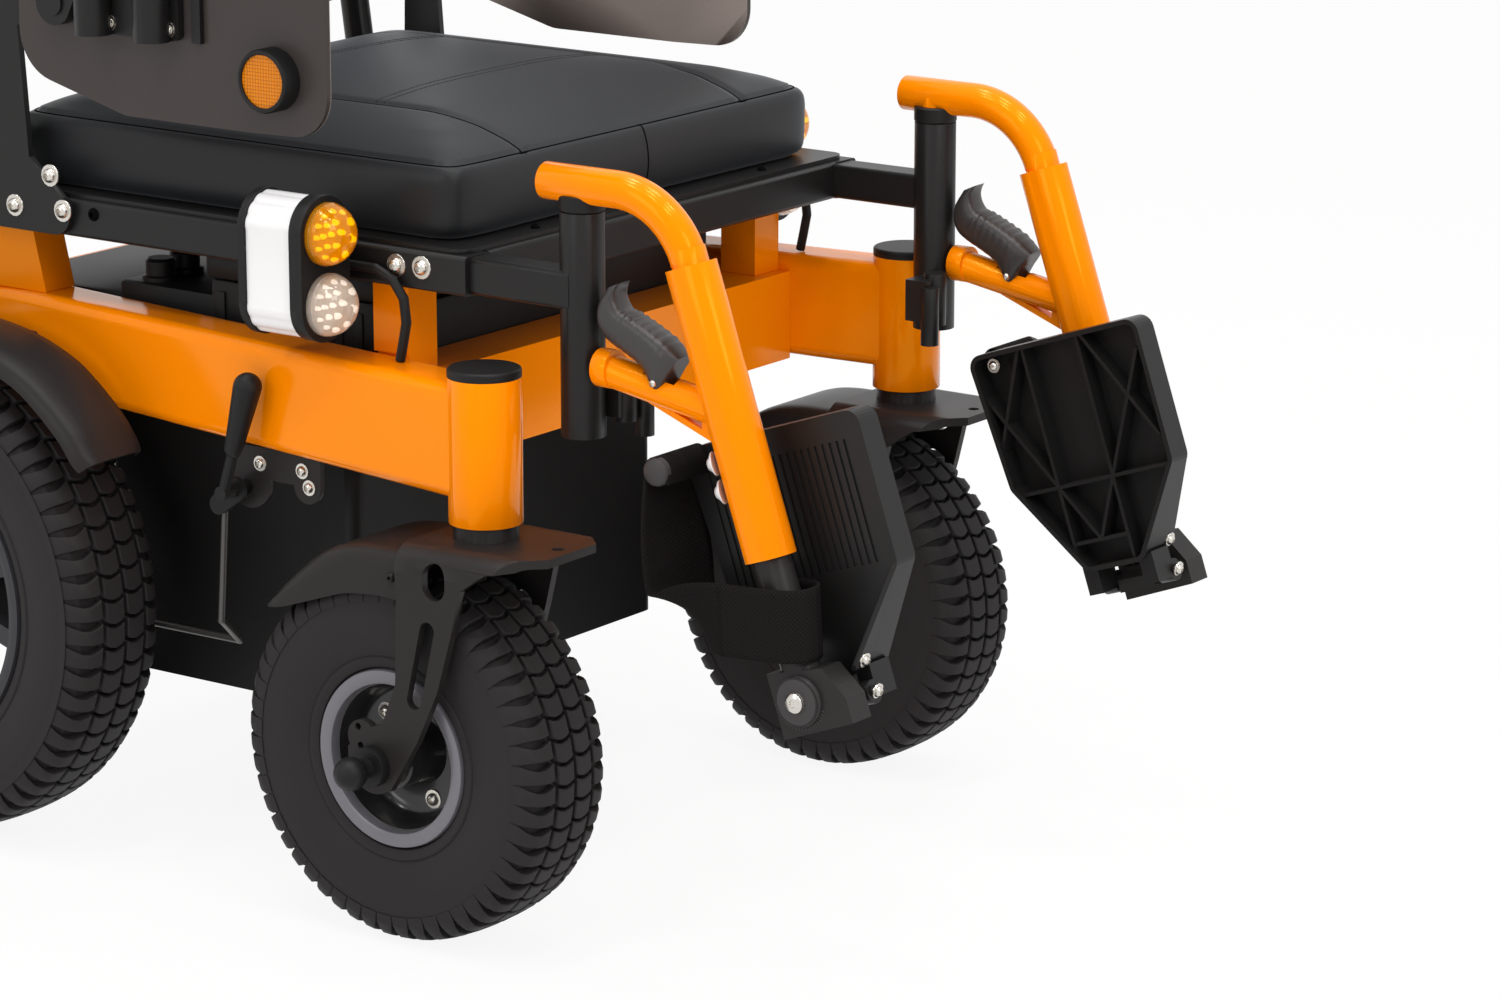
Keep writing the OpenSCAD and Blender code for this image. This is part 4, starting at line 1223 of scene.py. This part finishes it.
def soft_pieces() -> list[Cushion]:
    """The chair's cushions and pads.

    Returns:
        The cushions, not yet built.
    """
    seat = Cushion("seat_pad", "seat_cushion", "chassis", Matrix.Translation((0.0, 72.0, 470.2)), 211.0,
                   203.0, 52.0, panel_seams(127.0, 198.0, (-67.0, 78.0), 122.0), corner=22.2, front_seam=4.0)
    lean = BACK @ Matrix.Translation((0.0, -11.4, 290.0)) @ FORWARD
    back = Cushion("back_pad", "back_cushion", "backrest", lean, 200.0, 238.0, 46.0,
                   panel_seams(120.0, 230.0, (-60.0, 90.0), 116.0), edge=6.0)
    arms = [Cushion(f"arm_rest_{side.tag}", f"arm_pad_{side.tag}", f"arm_{side.tag}",
                    Matrix.Translation((244.0, 76.0, 714.1)), 29.0, 150.0, 29.0, side=side, voxel=3.0,
                    cap=3.0)
            for side in Side]
    return [seat, back, *arms]


# Legrests


@dataclass
class ReleaseLever(SidePart):
    """The moulded grip that unlocks a legrest, with finger ridges and a horn."""

    middle: float = 211.0
    top: tuple = ((-322, 419), (-314, 425.5), (-300, 433), (-287, 439), (-276, 444), (-271.5, 449),
                  (-270, 455), (-271.5, 460), (-274, 463))
    bottom: tuple = ((-315, 408), (-304, 393.5), (-293, 408), (-279, 416), (-267, 421.5), (-259, 427),
                     (-255, 435), (-255.4, 445), (-262, 457.5))
    half: tuple = (9.0, 12.6, 12.2, 11.8, 11.6, 11.4, 10.6, 9.5, 7.5)
    stations: int = 57
    round_steps: int = 20
    square: float = 0.6
    ridges: int = 8
    ridge: float = 1.7
    ridge_start: float = 0.1
    ridge_run: float = 0.42
    pin: Point = (12.4, -304.5, 401.0)

    def build(self) -> None:
        """Builds the grip and its pivot pin."""
        above, below = (side_curve(line, self.stations) for line in (self.top, self.bottom))
        width = curve_through([Vector((w, 0, 0)) for w in self.half], self.stations)
        grip, rings = Mould(), []
        for spot, (a, b, w) in enumerate(zip(above, below, width)):
            run = (spot / (self.stations - 1) - self.ridge_start) / self.ridge_run * math.pi
            swell = min(1.0, 2.0 * math.sin(run)) if 0.0 < run < math.pi else 0.0
            lift = self.ridge * swell * abs(math.sin(run * self.ridges))
            up, half = (a - b).normalized(), (a - b).length / 2
            ring = []
            for k in range(self.round_steps):
                angle = math.tau * k / self.round_steps
                c, s = math.cos(angle), math.sin(angle)
                rise = half * signed_power(s, self.square) + lift * min(1.0, max(0.0, s + 0.55))
                aside = self.middle + (w.x + 0.4 * lift) * signed_power(c, self.square)
                ring.append((a + b) / 2 + up * rise + Vector((aside, 0, 0)))
            rings.append(ring)
        grip.loft(rings)
        self.settle(grip, "release_grip", LEVER, self.own("release"), "release_lever", 50.0)
        pin = Mould()
        for face in (1, -1):
            pin.bolt((self.middle + face * self.pin[0], *self.pin[1:]), (face, 0, 0), 2.6, False)
        self.settle(pin, "release_pin", STEEL, self.own("release"))


@dataclass
class HeelBand(SidePart):
    """The mesh band that hangs from the heel post, is wrapped round the leg and closed with a flap."""

    hang: float = -9.0
    sleeve: tuple = ((46.5, 158), (43.4, 167), (46.6, 174.6), (53, 177.4), (59.8, 173), (62, 165))
    fall: tuple = (((-9, 66, 146), (1, 0.16, 0)), ((-9, 70, 126), (1, 0.32, 0)),
                   ((-9, 74, 106), (1, 0.44, 0.02)), ((-8, 76.5, 91), (1, 0.44, 0.12)),
                   ((-3, 73, 78), (0.85, 0.3, 0.5)), ((4, 64, 72), (0.5, 0.05, 0.85)),
                   ((11, 50, 68.5), (0.15, -0.15, 0.97)))
    wrap: tuple = ((17.2, 33), (17.4, 12), (17.2, -9), (15.6, -20), (9, -27.6), (0, -29.4), (-9, -27.6),
                   (-15.6, -20), (-16.8, -9), (-15, 3), (-8, 10.4), (2, 12))
    flap: tuple = ((19.3, 30), (19.4, 12), (19.2, -9), (17.2, -21), (10, -29.4), (0, -31.4))
    bend: tuple = ((14, 36, 64), (-9, 80, 110))
    half: float = 24.0
    across: int = 12
    thick: float = 1.5
    wrap_height: float = 56.5
    wrap_slope: float = 0.28
    wrap_way: Point = (0.0, -0.27, 0.963)
    sag: float = 2.0
    flare: float = 3.0
    free_start: float = 20.0
    free_run: float = 120.0

    def level(self, x: float, y: float) -> tuple[Point, Point]:
        """A point of the wrap, which lies level while the leg leans, and the way across the band there."""
        return (x, y, self.wrap_height + self.wrap_slope * y), self.wrap_way

    def ribbon(self, mould: Mould, route: list, count: int, sag: float = 0.0, flare: float = 0.0) -> float:
        """Draws a ribbon along a route.

        Args:
            mould: The mesh in the making.
            route: Points of the middle line, each with the way across the ribbon.
            count: Number of rows.
            sag: How far the hanging part bellies out.
            flare: How much wider the hanging part is on each side.

        Returns:
            The ribbon's length.
        """
        uv = mould.mesh.loops.layers.uv.verify()
        known = set(mould.mesh.faces)
        spots = curve_through([Vector(point) for point, _ in route], count)
        ways = [way.normalized() for way in curve_through([Vector(way) for _, way in route], count)]
        shares = [2 * k / self.across - 1 for k in range(self.across + 1)]
        row = [mould.mesh.verts.new(spots[0] + ways[0] * self.half * share) for share in shares]
        edges = [mould.mesh.edges.new(ends) for ends in zip(row, row[1:])]
        run = 0.0
        place = {vert: ((share + 1) * self.half * MM, run) for share, vert in zip(shares, row)}
        for spot, way, before in zip(spots[1:], ways[1:], spots):
            made = bmesh.ops.extrude_edge_only(mould.mesh, edges=edges)["geom"]
            fresh = set(of_kind(made, bmesh.types.BMVert))
            edges = of_kind(made, bmesh.types.BMEdge)
            row = [next(e.other_vert(v) for e in v.link_edges if e.other_vert(v) in fresh) for v in row]
            run += (spot - before).length
            swell = math.sin(min(1.0, max(0.0, (run - self.free_start) / self.free_run)) * math.pi)
            half = self.half + flare * swell
            for share, vert in zip(shares, row):
                vert.co = spot + way * half * share + swell * Vector((0, sag * (1 - share ** 2), 0))
                place[vert] = ((share + 1) * self.half * MM, run * MM)
        for face in set(mould.mesh.faces) - known:
            for loop in face.loops:
                loop[uv].uv = place[loop.vert]
        return run

    def build(self) -> None:
        """Builds the band and its flap."""
        mould = Mould()
        sleeve = [((self.hang, *spot), (1, 0, 0)) for spot in self.sleeve]
        route = [*sleeve, *self.fall, *(self.level(*spot) for spot in self.wrap)]
        length = self.ribbon(mould, route, 120, self.sag, self.flare)
        length += self.ribbon(mould, [self.level(*spot) for spot in self.flap], 32)
        bmesh.ops.transform(mould.mesh, matrix=LEG, verts=mould.mesh.verts)
        band = self.settle(mould, "heel_band", BAND, "", "heel_strap", 60.0)
        cloth = band.modifiers.new("Cloth", "SOLIDIFY")
        cloth.thickness = self.thick * MM
        cloth.offset = 0.0
        self.own("leg")
        self.own("foot")
        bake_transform(band)
        self.own("footplate")
        self.own("leg_tube")


@dataclass
class LegHardware(SidePart):
    """Collars, nuts, the foot disc and the footplate's bolts of one legrest."""

    collar: tuple = ((10.4, 505.4), (14.6, 505.4), (15.4, 506.4), (15.4, 515.4), (14.6, 516.4), (10.4, 516.4))
    collar_spot: Point = (208.3, -236.0, 0.0)
    nuts: tuple = ((6.0, 10.4, 164.0), (6.0, 10.4, 145.0))
    pivot: Point = (0.0, -9.0, 2.0)
    disc: tuple = ((0.0, 15.4), (13.6, 15.4), (16.0, 14.8), (16.9, 13.4), (17.1, 10.0))
    marks: int = 22
    washer: tuple = ((0.0, 18.6), (2.2, 18.6), (2.6, 19.6), (5.0, 19.3), (6.6, 18.2), (7.2, 16.8),
                     (7.2, 15.0))
    screws: tuple = (((-21.0, -44.3, 16.4), (0.0, -0.817, -0.577)), ((-45.5, 44.8, 166.0), (-1, 0, 0)),
                     ((-23.0, -46.2, -5.0), (0.0, -0.817, -0.577)))
    cap: tuple = ((0.0, 18.2), (7.6, 18.0), (9.0, 17.0), (9.6, 15.0), (9.6, 11.7), (6.6, 11.5))
    cap_spot: Point = (0.0, 52.0, 168.0)

    def build(self) -> None:
        """Builds the small parts on each body of the legrest."""
        legrest, leg, foot = (self.own(word) for word in ("legrest", "leg", "foot"))
        lean = LEG.to_3x3()
        collar = Mould().turned(self.collar, Matrix.Translation(self.collar_spot))
        self.settle(collar, "hanger_collar", PLASTIC, legrest)
        nuts = Mould()
        for spot in self.nuts:
            nuts.bolt(LEG @ Vector(spot), lean @ Vector((0.35, 1, 0)), 5.4)
        self.settle(nuts, "sleeve_bolts", ZINC, legrest)
        pivot = LEG @ Matrix.Translation(self.pivot)
        knuckle = Mould().turned(self.disc, pivot @ CROSSWISE, 48)
        for k in range(self.marks):
            turn = pivot @ Matrix.Rotation(math.radians(-150 + 7.2 * k), 4, "X")
            knuckle.block((10.6, 17.6, -0.4), (11.3, 20.0, 0.4), turn, 0.15)
        self.settle(knuckle, "foot_disc", SHELL, leg)
        self.settle(Mould().turned(self.washer, pivot @ CROSSWISE, 32), "foot_washer", STEEL, leg)
        screws = Mould()
        for spot, way in self.screws:
            screws.bolt(LEG @ Vector(spot), lean @ Vector(way), 3.6)
        self.settle(screws, "plate_screws", STEEL, foot)
        cap = Mould().turned(self.cap, LEG @ Matrix.Translation(self.cap_spot) @ CROSSWISE, 32)
        self.settle(cap, "post_cap", SHELL, foot)


# Lamps, reflectors and small fittings


@dataclass
class Lamps:
    """The white shells with fluted ends, and the light units behind their lenses, which glow as painted
    highlights.
    """

    middle: Pair = (262.0, 454.0)
    front: float = -50.0
    rear: float = -11.0
    radius: float = 22.9
    straight: float = 25.0
    flutes: int = 7
    flute: float = 0.85
    lens_face: float = -61.0
    rise: float = 24.0
    rings: tuple = ((0.0, 1), (6.2, 6), (12.2, 11))
    unit: tuple = ((0.0, 3.4), (0.8, 3.0), (1.3, 1.8), (1.4, 0.0), (0.0, 0.0))
    bowl: tuple = ((0.0, 1.0), (16.0, 1.0), (18.0, 2.6), (18.4, 2.4), (18.4, 0.0), (0.0, 0.0))

    def outline(self, steps: int = 56) -> list[Pair]:
        """The shell's outline, with flutes round both ends.

        Args:
            steps: Number of edges round an end.

        Returns:
            Points in the XZ plane.
        """
        found = []
        for end, start in ((1, 0.0), (-1, math.pi)):
            for k in range(steps + 1):
                turn = math.pi * k / steps
                r = self.radius + self.flute * abs(math.sin(turn * self.flutes))
                found.append((self.middle[0] + r * math.cos(start + turn),
                              self.middle[1] + end * self.straight + r * math.sin(start + turn)))
        return found

    def build(self) -> None:
        """Builds the shells and the light units of both lamps."""
        shell = Mould()
        face = shell.mesh.faces.new([shell.mesh.verts.new((x, z, 0.0)) for x, z in self.outline()])
        shell.raised([face], self.rear - self.front)
        place = Matrix.Translation((0, self.front, 0)) @ LENGTHWISE
        bmesh.ops.transform(shell.mesh, matrix=place, verts=shell.mesh.verts)
        shell.mirror()
        shell.settle("lamp_shells", LAMP_WHITE, "chassis", smooth=30.0, stands_for=("lamp_housings",))
        # The units glow behind the lenses as painted highlights.
        for colour, led, pale, rise in (("amber", AMBER_LED_GLINT, AMBER_BOWL, self.rise),
                                        ("clear", CLEAR_LED_GLINT, CLEAR_BOWL, -self.rise)):
            x, z = self.middle[0], self.middle[1] + rise
            units, bowls = Mould(), Mould()
            for ring, count in self.rings:
                for k in range(count):
                    angle = math.tau * k / count
                    spot = (x + ring * math.cos(angle), self.lens_face - 3.0, z + ring * math.sin(angle))
                    units.turned(self.unit, Matrix.Translation(spot) @ FORWARD, 10)
            bowls.turned(self.bowl, Matrix.Translation((x, self.lens_face - 2.0, z)) @ FORWARD)
            for mould, word, finish in ((units, "units", led), (bowls, "bowls", pale)):
                mould.mirror()
                mould.settle(f"{colour}_{word}", finish, "chassis")


@dataclass
class FrameBolts:
    """Bolts of the hinge plates, the seat rails and the freewheel plates, and the plugs of their holes."""

    hinge: tuple = ((251, 458), (205, 459), (216, 483), (296, 458))
    rail: tuple = ((-94, 455), (-116, 456))
    bracket: tuple = ((-14, 303), (24, 303), (-20, 292))
    rail_plug: Point = (227.2, 180.5, 458.3)
    plate_plugs: tuple = ((132.0, -137.0, 470.1), (132.0, 285.0, 470.1))

    def build(self) -> None:
        """Builds the bolts and the plugs of both sides."""
        bolts = Mould()
        for x, spots, radius in ((233.0, self.hinge, 5.4), (228.0, self.rail, 5.4),
                                 (236.0, self.bracket, 3.8)):
            for spot in spots:
                bolts.bolt((x, *spot), (1, 0, 0), radius)
        bolts.mirror()
        bolts.settle("frame_bolts", STEEL, "chassis")
        plugs = Mould()
        for side in Side:
            for spot in self.plate_plugs:
                plugs.bolt(side.flip @ Vector(spot), UP, 3.4, False)
            plugs.bolt(side.flip @ Vector(self.rail_plug), (side.value, 0, 0), 5.0, False)
        # The plugs share the near-black of the painted shade lines.
        plugs.settle("frame_plugs", SHADE_LINE_AND_PLUG, "chassis")


@dataclass
class SideFittings(SidePart):
    """The reflector's ring and bolts, the push grip and the dust fender's screws of one side."""

    ring: tuple = ((18.2, 14.4), (19.4, 15.2), (21.0, 14.6), (21.8, 13.0), (21.8, 0.0), (18.2, 0.0),
                   (18.2, 14.4))
    ring_spot: Point = (242.1, -3.0, 574.0)
    arm_bolts: tuple = ((248.1, 141.0, 600.0), (248.1, 87.0, 600.0))
    grip_start: tuple = ((11.2, -1.0), (15.6, -1.0), (16.6, 1.0), (16.6, 5.0))
    grip_rib: tuple = ((15.4, 8.0), (16.3, 9.2), (16.3, 11.0), (15.4, 12.0))
    grip_end: tuple = ((16.8, 84.0), (16.8, 90.0), (15.0, 93.0), (10.0, 94.4), (0.0, 94.8))
    grip_spot: Point = (198.0, 34.43, 539.6)
    ribs: int = 15
    rib_step: float = 5.0
    screws: tuple = (((296.8, -142.0, 261.0), (1, 0, 0)), ((201.2, -142.0, 261.0), (-1, 0, 0)))

    def build(self) -> None:
        """Builds the fittings on the arm, the back and the caster fork."""
        arm = self.own("arm")
        self.settle(Mould().turned(self.ring, crosswise(*self.ring_spot), 56), "reflector_ring", PLASTIC, arm)
        bolts = Mould()
        for spot in self.arm_bolts:
            bolts.bolt(spot, (1, 0, 0), 4.0)
        self.settle(bolts, "arm_bolts", STEEL, arm)
        ribs = [(r, h + self.rib_step * k) for k in range(self.ribs) for r, h in self.grip_rib]
        place = BACK @ Matrix.Translation(self.grip_spot) @ Matrix.Rotation(math.radians(-82.0), 4, "X")
        grip = Mould().turned([*self.grip_start, *ribs, *self.grip_end], place)
        self.settle(grip, "push_grip", TYRE, "backrest")
        screws = Mould()
        for spot, way in self.screws:
            screws.bolt(spot, way, 3.4, False)
        self.settle(screws, "fender_screws", PLASTIC, self.own("caster_fork"))


@dataclass
class JoystickBoot:
    """The bellows round the foot of the joystick, whose top moves with the stick."""

    spot: Point = (-258.0, -118.0, 0.0)
    boot: tuple = ((24.2, 736.6), (23.6, 739.0), (20.6, 740.2), (22.0, 741.8), (19.0, 743.0))
    collar: tuple = ((7.2, 744.6), (9.4, 745.6), (8.0, 746.8), (9.0, 748.0), (6.4, 749.2))

    def build(self) -> None:
        """Builds the boot and its collar."""
        for name, body, outline in (("joystick_boot", "arm_right", self.boot),
                                    ("joystick_collar", "joystick", self.collar)):
            Mould().turned(outline, Matrix.Translation(self.spot)).settle(name, TYRE, body)


# Fenders, the box under the seat and the panels


@dataclass
class RearGuards:
    """The curved guards over the rear wheels, with rolled edges and a lug to the rail."""

    run: tuple = ((126, 299), (133, 309), (141, 319.5), (153, 331), (168, 343.5), (184, 354.5), (204, 363.5),
                  (224, 370), (248, 375), (275, 378), (305, 379.4), (335, 378.6), (365, 375), (395, 368),
                  (425, 357), (450, 344), (468, 331))
    section: tuple = ((241, -7), (241.3, -2), (243.6, 0.4), (252, 1.6), (271, 2.4), (288, 1.4), (296.5, -1.2),
                      (300.8, -5.4), (302, -12), (299.2, -12), (298.2, -6.6), (295, -3.9), (287.6, -1.6),
                      (271, -0.6), (252.4, -1.4), (245, -2.6), (243.6, -7))
    middle: float = 271.0
    stations: int = 61
    taper: tuple = (0.9, 0.96, 0.985)
    lug: tuple = ((206.0, 252.0, 356.0), (244.0, 270.0, 363.0))

    def build(self) -> None:
        """Builds both guards as one piece."""
        spots = side_curve(self.run, self.stations)
        rings = []
        for k, spot in enumerate(spots):
            ahead = spots[min(k + 1, self.stations - 1)] - spots[max(k - 1, 0)]
            up = Vector((1, 0, 0)).cross(ahead).normalized()
            end = min(k, self.stations - 1 - k)
            narrow = self.taper[end] if end < len(self.taper) else 1.0
            rings.append([Vector((self.middle + (x - self.middle) * narrow, 0, 0)) + spot + up * h
                          for x, h in self.section])
        guards = Mould()
        guards.loft(rings)
        guards.block(*self.lug)
        guards.mirror()
        guards.settle("rear_guards", FORK, "chassis", smooth=50.0, stands_for=("rear_fenders",))


@dataclass
class DustFender(SidePart):
    """The fender inside a caster fork, whose sides run out to a thin tip."""

    roof: tuple = ((-32, 226), (-42, 238), (-53, 249), (-66, 260.5), (-81, 270), (-97, 275.6), (-115, 278),
                   (-135, 278.4), (-153, 278.4))
    hem: tuple = ((-33.5, 223.4), (-44, 225), (-58, 229.5), (-72, 234.2), (-86, 239), (-100, 243.4),
                  (-116, 245.6), (-134, 246.6), (-153, 245))
    section: tuple = ((0.0, 0.0), (0.55, 0.0), (0.78, 1.6), (0.92, 5.0), (0.985, 10.0), (1.0, 16.0))
    middle: float = 249.0
    half: float = 47.6
    thick: float = 2.4
    stations: int = 41

    def ring(self, high: Vector, low: Vector) -> list[Vector]:
        """The outline of the shell between a point of the roof and one of the hem.

        Args:
            high: The roof's point.
            low: The hem's point.

        Returns:
            The closed outline.
        """
        found = []
        for inset in (0.0, self.thick):
            top = high + (low - high).normalized() * min(inset, (low - high).length / 2)
            near = [low.lerp(top, rise) + Vector((self.half - inset - back, 0, 0))
                    for rise, back in self.section]
            line = near + [Vector((-p.x, p.y, p.z)) for p in reversed(near)]
            found += reversed(line) if inset else line
        return [point + Vector((self.middle, 0, 0)) for point in found]

    def build(self) -> None:
        """Builds the fender."""
        lines = [side_curve(line, self.stations) for line in (self.roof, self.hem)]
        shell = Mould()
        shell.loft([self.ring(high, low) for high, low in zip(*lines)])
        self.settle(shell, "dust_fender", FORK, self.own("caster_fork"), "caster_fender", 50.0)


@dataclass
class UnderSeat:
    """The black box of the drive electronics, between the rails under the seat."""

    boxes: tuple = (((-178, -55, 349), (178, 118, 412)), ((-181, -54, 413), (181, 120, 431)),
                    ((-168, 119, 349), (168, 214, 398)), ((-120, 126, 397), (-40, 168, 412)),
                    ((40, 126, 397), (120, 168, 412)), ((-158, 215, 349), (158, 338, 386)))
    plugs: tuple = ((-150, 190), (-118, 196), (118, 196), (150, 190))
    plug: tuple = ((0.0, 414.0), (9.0, 414.0), (11.0, 412.0), (11.0, 402.0), (13.5, 401.0), (13.5, 397.0),
                   (0.0, 397.0))
    fins: int = 9
    fin_step: float = 18.0

    def build(self) -> None:
        """Builds the box, its lid, its fins and its plugs."""
        box = Mould()
        for low, high in self.boxes:
            box.block(low, high, soft=3.0)
        for k in range(self.fins):
            y = -40 + self.fin_step * k
            for x in (-179.4, 176.4):
                box.block((x, y, 356), (x + 3.0, y + 7, 404), soft=0.8)
        for x, y in self.plugs:
            box.turned(self.plug, Matrix.Translation((x, y, 0.0)), 28)
        box.settle("drive_box", PLASTIC, "chassis")


def line_panels() -> None:
    """Lays a copy of each arm panel's inner face in a brighter taupe: painted light."""
    for side in Side:
        mesh = node_mesh(f"arm_panel_{side.tag}")
        inner = min(abs(vert.co.x) for vert in mesh.verts)
        for vert in mesh.verts:
            vert.co.x = side.value * (inner - 0.6 * MM + 0.1 * (abs(vert.co.x) - inner))
        name = f"arm_lining_{side.tag}"
        adopt(name, to_data(mesh, name), PAINTED_LIGHT_TAUPE, f"arm_{side.tag}")


# The nodes that keep their shape


FINISHES: dict[Finish, tuple[str, ...]] = {
    ORANGE: ("rail", "cross_frame", "hanger"),
    BLACK: ("seat_frame", "hinge_plates", "legrest_mounts", "footplate", "back_frame", "arm_frame"),
    FORK: ("rear_fenders", "fork", "caster_fender", "freewheel_brackets"),
    CAST: ("leg_tube",),
    PLASTIC: ("head_caps", "battery_box", "lamp_mounts", "freewheel_lever", "joystick_pod", "joystick_stick",
              "caster_axle"),
    BATTERY: ("batteries",),
    MOTOR: ("drive_motors",),
    LAMP_WHITE: ("lamp_housings",),
    AMBER: ("lamp_lenses_amber",),
    CLEAR: ("lamp_lenses_clear",),
    DARK_ALLOY: ("rear_rim",),
    STEEL: ("joystick_gimbal",),
    WIRE: ("freewheel_rod",),
    LEVER: ("release_lever",),
    TAUPE: ("arm_panel",),
    REFLECTOR: ("reflector",),
    GREEN: ("power_button",),
    GREY: ("speed_button",),
    BAND: ("heel_strap",),
}


def soften_node(node: bpy.types.Object) -> None:
    """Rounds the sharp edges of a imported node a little, as paint and moulding do.

    Args:
        node: The node.
    """
    weld = node.modifiers.new("Weld", "WELD")
    weld.merge_threshold = 1e-5
    bevel = node.modifiers.new("Bevel", "BEVEL")
    bevel.width = 0.8 * MM
    bevel.segments = 2
    bevel.limit_method = "ANGLE"
    bevel.angle_limit = math.radians(40.0)
    bevel.harden_normals = True


def dress_nodes() -> None:
    """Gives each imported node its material."""
    for finish, names in FINISHES.items():
        for name in [name + tag for name in names for tag in ("", "_right", "_left")]:
            node = frame["nodes"].get(name)
            if node:
                for slot in node.material_slots:
                    slot.material = finish.material()
                soften_node(node)


def main() -> None:
    """Builds the studio and every piece."""
    logging.basicConfig(level=logging.INFO, format="%(name)s: %(message)s")
    Studio().build()
    dress_nodes()
    for side in Side:
        BlockTyre(side, "caster_cover", "caster_tyre", "caster_wheel", CASTER_WHEEL, radius=130.0,
                  half_width=42.0, rim=62.0, bead=33.0, pitches=52).build()
        BlockTyre(side, "rear_cover", "rear_tyre", "rear_wheel", REAR_WHEEL, radius=180.0, half_width=45.0,
                  rim=113.0, bead=36.0, pitches=64).build()
        for part in (CasterRim, RearRim, ReleaseLever, HeelBand, LegHardware, DustFender):
            part(side).build()
    Lamps().build()
    RearGuards().build()
    UnderSeat().build()
    line_panels()
    FrameBolts().build()
    for side in Side:
        SideFittings(side).build()
    JoystickBoot().build()
    for cushion in soft_pieces():
        cushion.build()


if __name__ == "__main__":
    main()
